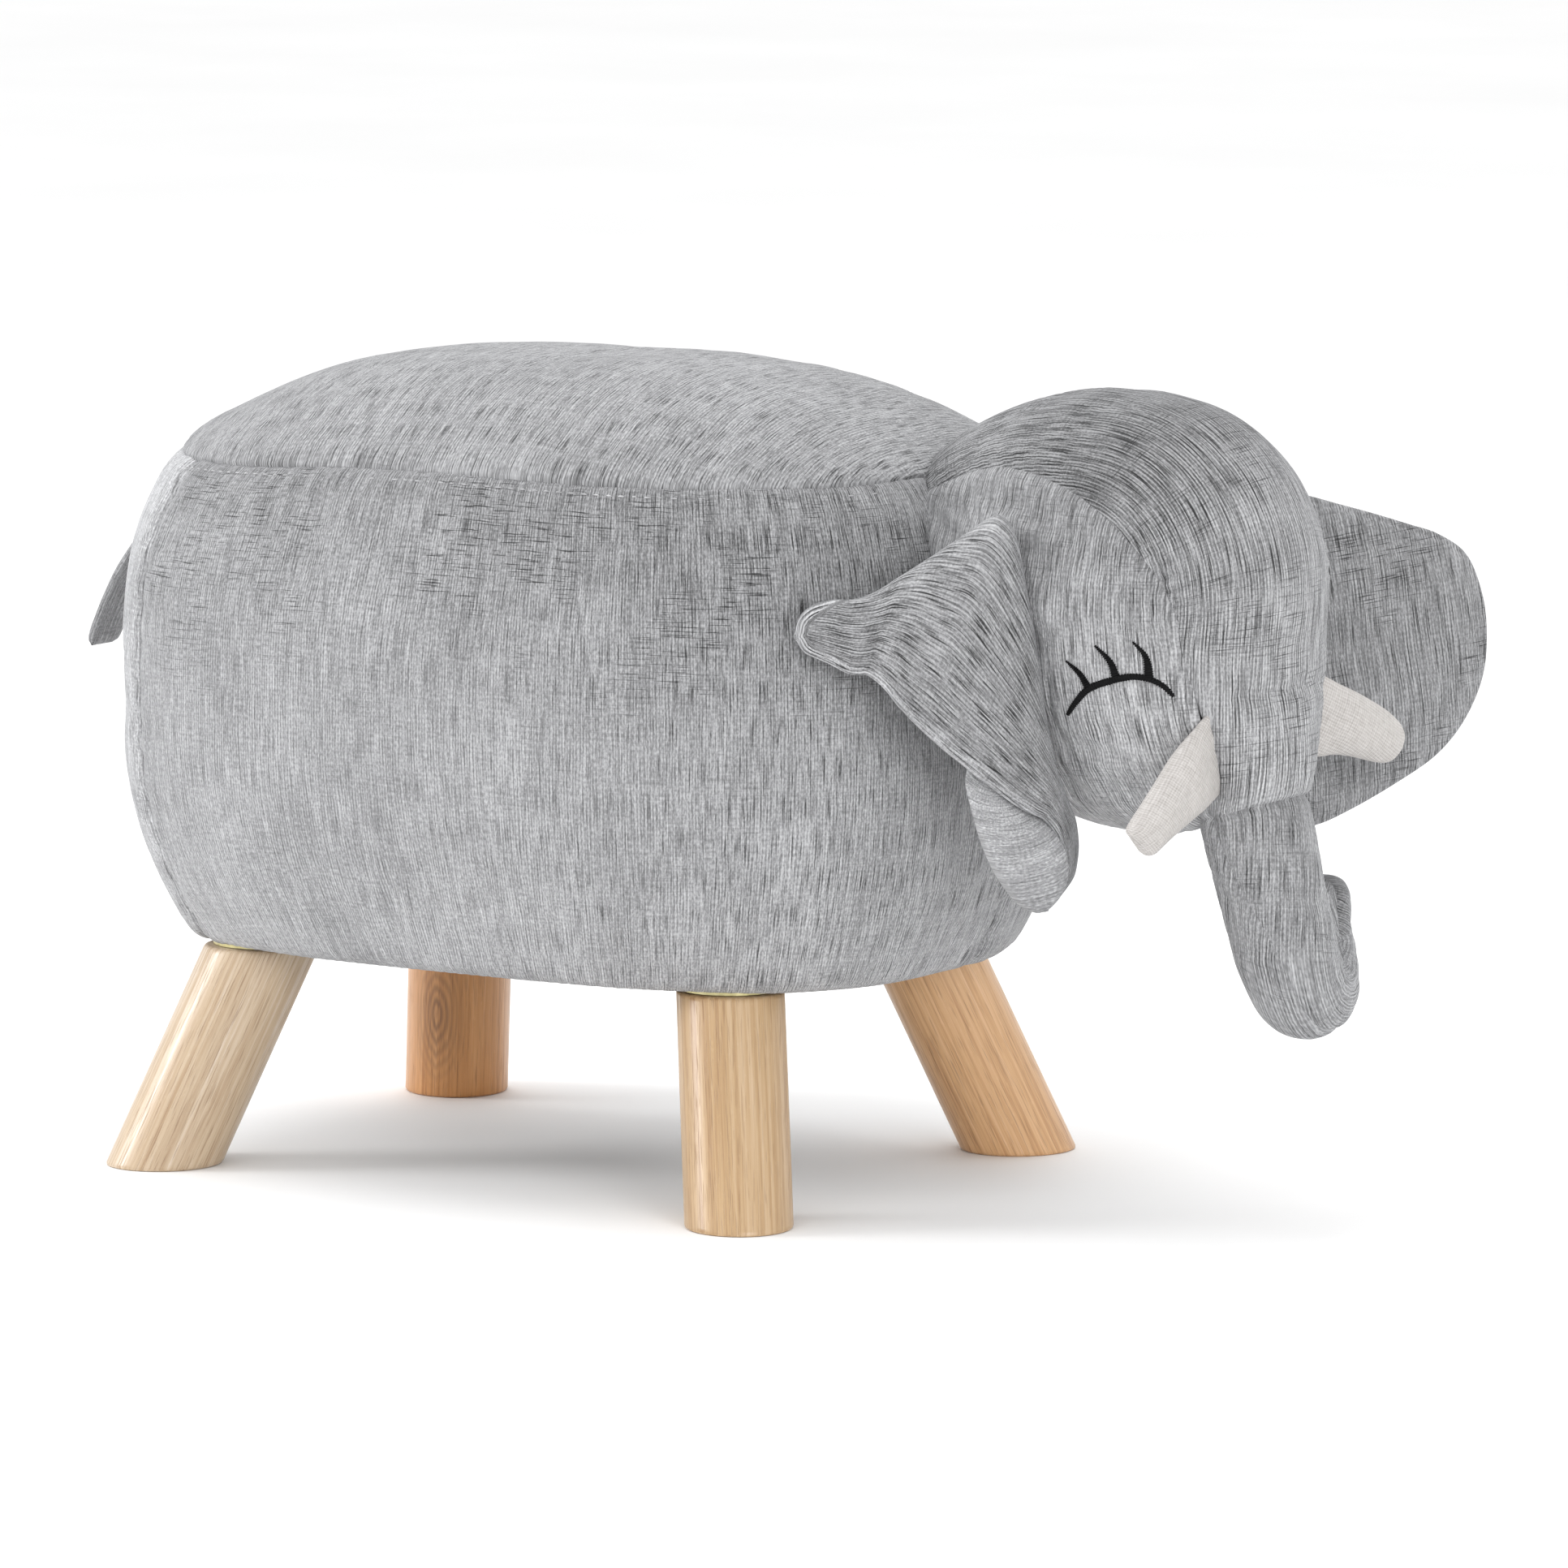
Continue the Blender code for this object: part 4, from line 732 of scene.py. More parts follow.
def add_side(name, start, end, columns, material, replaced):
    """A panel of the body's side, from the hem under the base up to the seat seam."""
    rows = side_rows()
    turns, levels = np.meshgrid(np.linspace(start, end, columns), rows[:, 0])
    more = np.repeat(rows[:, 1:], columns, 1)
    points = side_point(turns, levels, more)
    points[..., 2] -= 0.0016 * (1 - smooth((levels - UNDERSIDE_Z) / 0.022)) * smooth(1 - more / HEM)
    out = normals(points, False, FEET + (0, 0, 0.2))
    up, across = lengths(points, 0), lengths(points, 1)
    middle = np.argmin(np.abs(rows[:, 0] - WIDEST_Z))
    below_seam = up[-1:] - up
    from_edge = np.minimum(across, across[:, -1:] - across)
    run = np.repeat(across[middle:middle + 1], len(rows), 0) + start * 0.2
    lift = uneven(points, (0.0011, 0.075, 0.0), (0.0005, 0.028, 9.0))
    lift += seam_dip(below_seam, 0.0017, 0.0022, 0.0006, 0.010, 0.008)
    lift += seam_dip(from_edge, 0.0032, 0.0024, 0.0009, 0.008, 0.006)
    sway = 2.2 * rough(points * (1, 1, 0), 0.05, 4.0)
    lift += 0.00045 * seam_pucker(run, below_seam, sway, 0.0135, 0.009)
    sway = 2.5 * rough(points * (0, 0, 1), 0.05, 7.0)
    lift += 0.0004 * seam_pucker(up, from_edge, sway, 0.017, 0.008)
    slack = bump(levels - CREASE_Z, 0.024)
    for place, depth in CREASES:
        lift += depth * slack * bump(np.degrees(turns) - place - 60 * (levels - CREASE_Z), 1.9)
    lift *= smooth((up - HEM) / 0.006)
    points = points + out * lift[..., None]
    cloth = np.stack([run, -below_seam], -1)
    free = loose(np.minimum(np.minimum(below_seam, from_edge), np.maximum(up - HEM, 0)), 0.008)
    shape = Shape()
    index = shape.grid(points, cloth, False, free)
    inner = shape.add(points[middle] - out[middle] * 0.014)
    for row in (0, -1):
        shape.quads(np.stack([index[row], inner]), np.stack([cloth[row]] * 2))
    for k in (0, -1):
        shape.fan(index[:, k], inner[k], cloth[:, k])
    finish_soft(shape.make(name, material), "chenille", replaced)


def add_seat():
    """The crowned seat cover over its foam."""
    edge = 1 - np.array([0, 0.004, 0.010, 0.018, 0.028, 0.040, 0.055])
    share = np.concatenate([edge, np.linspace(0.925, 0.0, 64)])
    turns, shares = np.meshgrid(np.linspace(0, 2 * math.pi, 300, endpoint=False), share)
    points = crown_point(turns, shares) + (0, 0, 0.0004)
    out = normals(points, True, FEET + (0, 0, 0.15))
    out[-1] = (0, 0, 1)
    inward = lengths(points, 0)
    lift = uneven(points, (0.0013, 0.09, 3.0), (0.0004, 0.03, 5.0))
    lift += seam_dip(inward, 0.0012, 0.0022, 0.0009, 0.011, 0.010)
    sway = 2 * rough(points * (1, 1, 0), 0.06, 2.0)
    lift += 0.0004 * seam_pucker(lengths(points, 1)[:1], inward, sway, 0.0145, 0.008)
    lift[-1] = lift[-1].mean()
    points = points + out * lift[..., None]
    cloth = closed(points[..., :2] - FEET[:2]) * (1.0, 1.04)
    shape = Shape()
    index = shape.grid(points, cloth, True, loose(inward, 0.008))
    under_z = SEAM_Z - 0.0115
    under = points[0] * (1, 1, 0) + (0, 0, under_z)
    low = shape.add(FEET + (under - FEET) * (0.985, 0.985, 1))
    low = np.append(low, low[0])
    shape.quads(np.stack([index[0], low]), np.stack([cloth[0]] * 2))
    shape.fan(low, shape.add(FEET + (BODY_FORWARD, 0, under_z))[0], cloth[0])
    obj = shape.make("seat_cushion", TOP, growth=SEAT_GROWTH)
    finish_soft(obj, "chenille", ("seat_cover", "seat_foam"))


def add_topstitch():
    """Short light stitches a little below the seat seam, all round."""
    def line(turn, drop):
        return side_point(turn, np.full_like(turn, SEAM_Z - drop))

    angle = np.linspace(0, 2 * math.pi, 2401)
    run = run_along(line(angle, STITCH_DROP))
    count = int(run[-1] / STITCH_SPACING)
    section = np.linspace(0, 2 * math.pi, 7)[:-1]
    c, s = np.cos(section)[None, :, None], np.sin(section)[None, :, None]
    swell = np.array([0.0, 0.8, 1.0, 0.8, 0.0])
    radius = STITCH_RADIUS * np.array([0.35, 0.85, 1, 0.85, 0.35])[:, None, None]
    shape = Shape()
    for k in range(count):
        where = (k + 0.5) * run[-1] / count + np.linspace(-STITCH_HALF, STITCH_HALF, 5)
        turn = np.interp(where, run, angle)
        path = line(turn, STITCH_DROP)
        upward, way = unit(line(turn, STITCH_DROP - MM) - path), unit(np.gradient(path, axis=0))
        out = unit(np.cross(way, upward))
        middle = path + out * (0.00035 * (swell - 0.6))[:, None]
        ring = middle[:, None] + radius * (c * upward[:, None] + s * out[:, None])
        cloth = np.stack(np.meshgrid(np.linspace(0, 0.0026, 7), where - where[0] + 0.0007 * k), -1)
        shape.caps(shape.grid(ring, cloth, True), middle, cloth)
    finish(shape.make("seat_topstitch", PALE), "thread")


def inside_body(points):
    """How far inside the body's outline each point is: over 0 is inside."""
    p = points - FEET
    inset = side_inset(np.clip(p[..., 2], UNDERSIDE_Z, SEAM_Z))
    x, y, z = np.abs(p[..., 0] - BODY_FORWARD), np.abs(p[..., 1]), p[..., 2]
    reach = (x / (BODY_LENGTH / 2 - inset)) ** BODY_SQUARENESS + (y / (BODY_WIDTH / 2 - inset)) ** BODY_SQUARENESS
    share = np.minimum(reach ** (1 / BODY_SQUARENESS), 1.0)
    top = SEAM_Z + CROWN_HEIGHT * (1 - share ** CROWN_CURVE)
    return np.minimum(1 - reach, np.minimum((top - z) / 0.05, (z - UNDERSIDE_Z) / 0.05))


def stop_at_body(points, start, sink=0.004):
    """Shortens the lines from start to the points where they run into the body."""
    low, high = np.zeros(points.shape[:-1]), np.ones(points.shape[:-1])
    hit = inside_body(points) > 0
    for _ in range(24):
        mid = (low + high) / 2
        within = inside_body(start + (points - start) * mid[..., None]) > sink
        high, low = np.where(within, mid, high), np.where(within, low, mid)
    share = np.where(hit, low, 1.0)
    return start + (points - start) * share[..., None]


# Head

def to_head(points):
    """From the head's own axes to the part's."""
    return HEAD_PLACE + np.asarray(points) @ HEAD_TURN.T


def head_radius(pitch):
    c, s = np.cos(pitch), np.sin(pitch)
    ahead = np.where(c > 0, HEAD_REACH, HEAD_NECK)
    rise = np.where(s > 0, HEAD_CROWN, HEAD_CHIN)
    n = np.where(c > 0, np.where(s > 0, BROW_SQUARENESS, MUZZLE_SQUARENESS),
                 np.where(s > 0, NAPE_SQUARENESS, THROAT_SQUARENESS))
    radius = ((np.abs(c) / ahead) ** n + (np.abs(s) / rise) ** n) ** (-1 / n)
    degrees = np.degrees(np.arctan2(s, c))
    for place, width, depth in HEAD_DENTS:
        radius = radius - depth * bump(degrees - place, width)
    return radius


def head_point(pitch, turn):
    reach = head_radius(pitch) * np.cos(turn)
    return np.stack([reach * np.cos(pitch), HEAD_WIDTH / 2 * np.sin(turn), reach * np.sin(pitch)], -1)


def cheek_point(x, z, side, lift=0.0):
    share = np.minimum(np.hypot(x, z) / head_radius(np.arctan2(z, x)), 1.0)
    return np.stack([x, side * (HEAD_WIDTH / 2 * np.sqrt(1 - share ** 2) + lift), z], -1)


def gusset_turn(pitch):
    degrees = np.degrees((pitch + math.pi * 0.55) % (2 * math.pi) - math.pi * 0.55)
    inside = (degrees > GUSSET[0, 0]) & (degrees < GUSSET[-1, 0])
    half = np.where(inside, np.maximum(curve(degrees, GUSSET), 0.0003), 0.0003)
    return np.arcsin(np.minimum(half / (HEAD_WIDTH / 2), 0.95))


# Deep puckers beside the eye: the pitch of each in degrees, and its height
BROW_PUCKERS = ((39, 0.0011), (34, 0.0014), (29, 0.0012), (17, 0.0013), (11, 0.0009))


def add_forehead():
    """One long panel: over the head from the neck, and straight down the muzzle to the trunk's seam."""
    spread = np.linspace(-1, 1, 55)
    spread = np.sign(spread) * (1 - (1 - np.abs(spread)) ** 1.35)
    centre = slice(len(spread) // 2, len(spread) // 2 + 1)
    low_pitch, neck_pitch = math.radians(-10), math.radians(158)
    pitches, shares = np.meshgrid(np.linspace(low_pitch, neck_pitch, 160), spread, indexing="ij")
    upper = head_point(pitches, (gusset_turn(pitches) + 0.004) * shares)
    turn = (shares[0] * math.radians(88))[:, None]
    around = np.cos(turn) * TRUNK_AHEAD + np.sin(turn) * np.array((0.0, 1, 0))
    hem = TRUNK_PLACE - TRUNK_DOWN * 0.0036 + 0.0238 * around
    rise = unit(upper[1] - upper[0])
    reach = np.linalg.norm(upper[0] - hem, axis=-1, keepdims=True)
    t = np.linspace(0, 1, 36)[:-1, None, None]
    lower = hermite(t, hem, np.array((0.36, 0, 0.93)) * reach, upper[0], rise * reach)
    points = np.concatenate([lower, upper])
    bend = np.degrees(np.concatenate([np.full(lower.shape[:2], low_pitch), pitches]))
    out = normals(points, False, np.array((0.0, 0, -0.02)))
    across, along = lengths(points, 1), lengths(points, 0)
    from_edge = np.minimum(across, across[:, -1:] - across)
    run = np.repeat(along[:, centre], len(spread), 1)
    strong = 0.35 + 2.2 * bump(bend - 24, 14)
    lift = uneven(points, (0.0009, 0.05, 12.0), (0.0004, 0.02, 15.0))
    lift += seam_dip(from_edge, 0.0008, 0.0016, 0.0007, 0.009, 0.008)
    lift += 0.0008 * strong * seam_pucker(run, from_edge, 2.6 * rough(points, 0.04, 21.0), 0.0085, 0.010, 0.0018)
    for place, height in BROW_PUCKERS:
        lift += height * bump(bend - place, 1.1) * fall(from_edge, 0.007) * smooth(from_edge / 0.0016)
    lift += -0.0010 * fall(along, 0.0016) - 0.0007 * bump(along - 0.046, 0.006)
    points = points + out * lift[..., None]
    inside = to_head(HEAD_MIDDLE)
    cloth = np.stack([across - across[:, centre], run], -1)
    shape = Shape()
    index = shape.grid(stop_at_body(to_head(points), inside), cloth, False, loose(np.minimum(from_edge, along)))
    spine = shape.add(stop_at_body(to_head((points[:, 0] + points[:, -1]) * 0.45), inside, 0.02))
    for column in (0, -1):
        shape.quads(np.stack([index[:, column], spine], 1), np.stack([cloth[:, column]] * 2, 1))
    for row in (0, -1):
        shape.fan(index[row], spine[row], cloth[row])
    finish_soft(shape.make("forehead", BROW), "chenille", ("forehead_panel", "head_filling"))


def add_cheek(name, side):
    """The side of the head. It reaches in under the muzzle, and is held flat round the stitched eye."""
    share = 1 - np.linspace(0, 1, 46) ** 0.85
    pitches, shares = np.meshgrid(np.linspace(-math.pi, math.pi, 240, endpoint=False), share)
    degrees = np.degrees(pitches)
    under_muzzle = smooth((degrees + 78) / 14) * smooth((-37 - degrees) / 10)
    low = (gusset_turn(pitches) - 0.006) * (1 - 0.4 * under_muzzle)
    points = head_point(pitches, math.pi / 2 - (math.pi / 2 - low) * shares) * (1, side, 1)
    out = normals(points, True, np.zeros(3))
    out[-1] = (0, side, 0)
    inward = lengths(points, 0)
    lift = uneven(points, (0.0010, 0.05, 31.0), (0.0004, 0.02, 35.0))
    lift += seam_dip(inward, 0.0008, 0.0016, 0.0005, 0.008, 0.007)
    sway = 2.6 * rough(points, 0.04, 41.0)
    lift += 0.0003 * seam_pucker(lengths(points, 1)[:1], inward, sway, 0.010, 0.010, 0.0018)
    lift[-1] = lift[-1].mean()
    stitched = np.min([near(points[..., (0, 2)], line) for line in (EYE_LID, *EYE_LASHES)], axis=0)
    lift *= 0.25 + 0.75 * smooth(stitched / 0.012)
    points = points + out * lift[..., None]
    world = stop_at_body(to_head(points), to_head(HEAD_MIDDLE))
    cloth = closed(points[..., (0, 2)])
    shape = Shape()
    index = shape.grid(world, cloth, True, loose(inward) * smooth(stitched / 0.009 - 0.25))
    shape.fan(index[0], shape.add(to_head(np.array((0.0, side * 0.004, 0.0))))[0], cloth[0])
    finish_soft(shape.make(f"{name}_cheek", CHEEK), "chenille", (f"{name}_cheek_panel",))


def add_eye(name, side):
    """Satin stitch: rounded ridges of fine thread laid across the line."""
    shape = Shape()

    def ridge(line, count, widths, height=0.0008):
        share = np.linspace(0, 1, count)
        path, widths = even(line, share), widths(share)[:, None]
        way = unit(np.gradient(path, axis=0))
        across = np.stack([-way[:, 1], way[:, 0]], -1)[:, None]
        spread = np.linspace(-1, 1, 9)
        beat = np.sin(np.arange(count) * 2.2)[:, None]
        flat = path[:, None] + across * (spread[None, :, None] * widths[..., None] / 2)
        flat = flat + across * (0.00028 * beat[..., None] * np.sign(spread)[None, :, None])
        rise = np.sqrt(np.clip(1 - spread ** 2, 0, 1))[None] * height * np.minimum(1, widths / 0.002)
        top = cheek_point(flat[..., 0], flat[..., 1], side, 0.0004 + rise * (1 + 0.30 * beat))
        low = cheek_point(flat[..., 0], flat[..., 1], side, -0.0012)
        cloth = np.stack(np.meshgrid(run_along(path), spread * 0.002, indexing="ij"), -1)
        rings = np.concatenate([to_head(top), to_head(low[:, ::-1])], 1)
        cloth = closed(np.concatenate([cloth, cloth[:, ::-1]], 1))
        shape.caps(shape.grid(rings, cloth, True), rings.mean(1), cloth)

    ridge(EYE_LID, 150, lambda share: 0.0026 * (0.35 + 0.65 * np.sin(np.pi * share) ** 0.5))
    for lash in EYE_LASHES:
        ridge(lash, 50, lambda share: 0.0033 * (1 - 0.82 * share ** 1.2))
    finish(shape.make(f"{name}_eye_stitching", BLACK, 80), "thread", f"{name}_eye")


# Trunk

def tube_frame(path, start):
    """Directions across a path that turn as little as they can."""
    way = unit(np.gradient(path, axis=0))
    across, other = [], []
    line = np.asarray(start, float)
    for w in way:
        line = unit(line - w * (line @ w))
        across.append(line)
        other.append(np.cross(w, line))
    return way, np.array(across), np.array(other)


def trunk_line(count):
    """The middle of the trunk and its girth: down, then round to the left and up."""
    top, knee, tip = TRUNK_GIRTH
    side = np.array((math.cos(TRUNK_CURL), math.sin(TRUNK_CURL), 0))
    left = np.array((-0.0007, -0.0007, 0))
    rows = [(TRUNK_DOWN * (-TRUNK_START + (TRUNK_SHAFT + TRUNK_START) * t) + left * t * t, top + (knee - top) * t)
            for t in np.linspace(0, 1, 40)]
    centre = TRUNK_DOWN * TRUNK_SHAFT + side * TRUNK_BEND + left
    for a in np.linspace(0, math.pi, 60)[1:]:
        forward = np.array((0.0036 * float(smooth(a / 2.4 - 0.25)), 0, 0)) - left * a / math.pi
        round_bend = TRUNK_DOWN * (TRUNK_BEND * math.sin(a)) - side * (TRUNK_BEND * math.cos(a))
        rows.append((centre + round_bend + forward, knee + (tip - knee) * a / math.pi))
    way = unit(unit(rows[-1][0] - rows[-2][0]) + (0.22, 0, 0))
    rows += [(rows[-1][0] + way * 0.0165 * t, tip) for t in (0.5, 1.0)]
    points, radii = (np.array(column) for column in zip(*rows))
    run = run_along(points)
    at = np.linspace(0, run[-1], count)
    path = np.stack([np.interp(at, run, points[:, k]) for k in range(3)], -1)
    return path, np.interp(at, run, radii), at - TRUNK_START


def add_trunk():
    """A front panel and a back panel, sewn together along two lines that run towards the front as they go down."""
    path, radius, run = trunk_line(130)
    way, across, other = tube_frame(path, TRUNK_AHEAD)
    tip = np.linspace(0, math.pi / 2, 16)[1:]
    rows = np.concatenate([path, path[-1] + way[-1] * (radius[-1] * 0.62 * np.sin(tip))[:, None]])
    girth = np.concatenate([radius, radius[-1] * np.cos(tip) ** 0.55])
    girth[-1] = 0.0004
    runs = np.concatenate([run, run[-1] + radius[-1] * tip * 0.8])
    level = np.minimum(np.arange(len(rows)), len(path) - 1)
    seam = np.radians(97 - 50 * smooth((runs + 0.004) / 0.085))
    girth = girth - 0.0015 * fall(np.abs(runs + 0.0030), 0.0022)
    shape = Shape()
    panels = []
    for front, columns in ((True, 49), (False, 61)):
        share = np.linspace(-1, 1, columns)
        half = seam if front else math.pi - seam
        angle = (0 if front else math.pi) - half[:, None] * share
        ring = np.cos(angle)[..., None] * across[level][:, None] + np.sin(angle)[..., None] * other[level][:, None]
        points = rows[:, None] + girth[:, None, None] * ring
        arc, down = (girth * half)[:, None], np.repeat(runs[:, None], columns, 1)
        from_seam = arc * (1 - np.abs(share))
        lift = uneven(points, (0.0008, 0.03, 51.0), (0.0003, 0.012, 53.0))
        lift += seam_dip(from_seam, 0.0009, 0.0014, 0.0004, 0.005, 0.004)
        lift += 0.0003 * seam_pucker(down, from_seam, 2.6 * rough(points, 0.04, 55.0), 0.008, 0.006, 0.0018)
        points = points + ring * (lift * np.minimum(girth / 0.01, 1)[:, None])[..., None]
        if front:
            lean, shift = np.radians(11 - 71 * smooth((down - 0.105) / 0.03)), 0.3
        else:
            lean, shift = np.radians(20) * np.sign(share), 0.0
        u, v = arc * share, down - 0.12
        cloth = np.stack([u * np.cos(lean) + v * np.sin(lean) + shift, v * np.cos(lean) - u * np.sin(lean) + 0.12], -1)
        free = loose(np.minimum(from_seam, np.maximum(down + 0.004, 0))) * (girth > 0.006)[:, None]
        panels.append((shape.grid(to_head(TRUNK_PLACE + points), cloth, False, free), cloth))
    ends = [(row, shape.add(to_head(TRUNK_PLACE + rows[row]))[0]) for row in (0, -1)]
    for index, cloth in panels:
        for row, middle in ends:
            shape.fan(index[row], middle, cloth[row])
    finish_blended(shape.make("trunk", TRUNK), ("trunk_cover", "trunk_filling"))


# Ears

def ear_axes(side, sweep):
    """Out, up and facing directions of an ear's pattern, in the head's axes."""
    up = np.array((math.sin(EAR_LEAN), 0, math.cos(EAR_LEAN)))
    forward = np.array((math.cos(EAR_LEAN), 0, -math.sin(EAR_LEAN)))
    outward = np.array((0.0, side, 0))
    sweep = np.asarray(sweep)[..., None]
    out = outward * np.cos(sweep) - forward * np.sin(sweep)
    face = forward * np.cos(sweep) + outward * np.sin(sweep)
    return out, up, face


def ear_place(side, flat, lift):
    """From pattern places and a lift off the pattern to the part's axes."""
    hinge = np.array((-0.006, side * (HEAD_WIDTH / 2 + 0.0045), -0.007))
    if side < 0:
        sweep = RIGHT_SWEEP - math.radians(22) * smooth(-flat[..., 1] / 0.066)
    else:
        sweep = np.full(flat.shape[:-1], LEFT_SWEEP)
    out, up, face = ear_axes(side, sweep)
    return to_head(hinge + out * flat[..., :1] + up * flat[..., 1:2] + face * lift[..., None])


def pillow(shape, side, flat, front, back, cloth, free):
    """A closed puffed form over a pattern grid: front and back meet along all four edges."""
    a = shape.grid(ear_place(side, flat, front), cloth, False, free)
    b = shape.grid(ear_place(side, flat, back)[:, ::-1], cloth[:, ::-1], False)[:, ::-1]
    shape.rims(a, b, cloth)


def finish_ear(obj, replaced):
    finish_blended(obj, replaced)


def flat_rough(flat, size, seed):
    return rough(np.concatenate([flat, np.zeros(flat.shape[:-1] + (1,))], -1), size, seed)


def add_right_ear():
    """The near ear is folded on itself: its ribs run from the lobe up and round to the rolled tip."""
    band = np.array([(-0.8, -104.7), (-4.4, -98.4), (-6.6, -90.3), (-6.4, -83.4), (-4.4, -77), (0.1, -70.5), (5, -67.5),
                     (11.5, -62.5), (22.4, -52), (34.7, -39.5), (44, -29), (52.7, -18), (58.5, -9), (64.4, -3),
                     (68, -2.6), (73, -1), (80.4, 4.2), (89.2, 9.3), (92.4, 14.7)]) * MM
    root = np.array([(-1.1, -105.2), (-5, -101.8), (-10, -96.5), (-12.3, -91), (-14, -83), (-14, -72.8), (-11.7, -63.9),
                     (-8.6, -50), (-6.5, -28), (-6, 4), (-4.5, 31), (-3.6, 44), (-1.2, 53), (2.6, 57), (8, 55.8),
                     (17.4, 50.8), (31.7, 43.5), (46, 36.6), (57, 31.4), (66, 29.2), (76, 29.9), (84, 28.6), (90, 24.3),
                     (92.7, 18)]) * MM
    hem = np.array([(62, -1), (56, -8), (48.9, -14.4), (37.5, -29.9), (26.2, -44), (14.3, -56.5), (4, -64.5),
                    (-2, -70)]) * MM
    v = np.linspace(0, 1, 200)
    flat, u, width = ruled(band, root, v, 76)
    x = flat[..., 0]
    from_band, from_root = near(flat, band, 160), near(flat, root, 200)
    edge = np.minimum(from_band, from_root)
    profile = dome(from_band, 0.013) * dome(from_root, 0.017)
    half = 0.0105 * np.minimum(width / 0.030, 1)[:, None] ** 0.6 * profile
    tip = smooth((x - 0.056) / 0.012)
    front = half + (0.0008 * flat_rough(flat, 0.03, 61.0) + 0.0004 * flat_rough(flat, 0.012, 63.0)) * profile
    middle = (smooth((v - 0.14) / 0.06) * smooth((0.83 - v) / 0.05))[:, None]
    front += (0.0012 * bump(from_band - 0.0026, 0.0022) - 0.0024 * bump(near(flat, hem, 120), 0.0016)) * middle
    roll = np.linalg.norm(flat - np.array((0.0785, 0.0150)), axis=-1)
    front += 0.0034 * bump(roll, 0.0080) - 0.0020 * bump(roll - 0.0185, 0.0028) * smooth((0.080 - x) / 0.012)
    front += (0.0008 * bump(edge - 0.0020, 0.0016) - 0.0009 * bump(edge - 0.0056, 0.0014)) * tip
    back = -0.75 * half - 0.0008
    taper = 0.0056 * np.where(from_root < from_band, smooth((x - 0.066) / 0.020), tip)
    rim = smooth((taper - edge) / 0.0012)
    steep = lengths(np.concatenate([flat, half[..., None]], -1), 1) - lengths(flat, 1)
    steep = np.maximum(steep - steep[:, len(u) // 2, None], 0)
    rib = (u[None] * (0.024 + 0.42 * width)[:, None] + steep) * (1 - rim) + edge * 0.9 * rim
    cloth = np.stack([rib + 0.06, np.repeat((v * 0.25)[:, None], len(u), 1)], -1)
    ear = Shape()
    pillow(ear, -1, flat, front, back, cloth, loose(edge))
    ear = ear.make("right_ear_front", EAR_NEAR, 75)

    outline = np.array([(22, -42), (26.5, -46), (28.4, -52), (28, -60), (27, -68), (25, -78.5), (21.5, -89.6),
                        (16.4, -99.6), (12.4, -105), (8, -108.4), (4, -108.6)]) * MM
    inner = np.array([(18, -46), (12, -55), (4, -65), (-3, -71), (-7, -77), (-9, -83.4), (-9, -90.3), (-7, -98),
                      (-3.6, -103.2), (0, -106.4), (2.5, -108)]) * MM
    flat, u, width = ruled(outline, inner, np.linspace(0, 1, 90), 46)
    swell = dome(np.minimum(near(flat, outline, 120) / 0.022, near(flat, inner, 120) / 0.010), 1)
    depth = np.clip((-0.046 - flat[..., 1]) / 0.050, 0, 1)
    front = -0.0095 + 0.0085 * smooth(depth) + (0.0045 + 0.0025 * depth) * swell
    front += 0.0004 * flat_rough(flat, 0.02, 71.0) * swell
    back = np.minimum(-0.0085 - 0.003 * swell, front - 0.001)
    spot = flat - np.array((0.014, -0.040))
    cloth = np.stack([np.linalg.norm(spot, axis=-1), np.arctan2(spot[..., 0], -spot[..., 1]) * 0.05], -1)
    lobe = Shape()
    pillow(lobe, -1, flat, front, back, cloth, swell ** 2)
    lobe = lobe.make("right_ear_lobe", LOBE, 75)
    finish_ear(ear, ("right_ear_cover", "right_ear_wadding"))
    finish_ear(lobe, ())


def add_left_ear():
    """The far ear lies open."""
    rim = np.array([(-6, 52), (12, 47), (34, 39), (50, 32.5), (66, 26), (82, 19), (95, 13), (107, 3), (112.3, -12),
                    (113.2, -29), (109, -49), (98, -66.5), (82.5, -79.5), (61.5, -88.5), (37, -96.5), (20, -100),
                    (6, -98), (-4, -86), (-7, -66)]) * MM
    v = np.linspace(0, 1, 210)
    u = 1 - (1 - np.linspace(0, 1, 60)) ** 1.6
    base = np.stack([np.full(len(v), -0.007), 0.052 + (-0.066 - 0.052) * v], -1)
    flat = base[:, None] * (1 - u)[None, :, None] + even(rim, v)[:, None] * u[None, :, None]
    inside = near(flat, rim, 260)
    half = (0.0011 + 0.0058 * dome(inside, 0.030)) * (0.55 + 0.45 * smooth(u / 0.2))[None]
    run = np.repeat((v * 0.36)[:, None], len(u), 1)
    wave = 0.0010 * flat_rough(flat, 0.035, 83.0) * smooth(inside / 0.01)
    front = half + wave - 0.0005 * bump(inside - 0.0024, 0.0008)
    front += 0.0003 * seam_pucker(run, inside, 2 * flat_rough(flat, 0.05, 81.0), 0.011, 0.008)
    shape = Shape()
    pillow(shape, 1, flat, front, wave - half, flat.copy(), loose(inside, 0.007))
    obj = shape.make("left_ear", EAR_FAR, 75)
    finish_ear(obj, ("left_ear_cover", "left_ear_wadding"))


# Tusks and tail

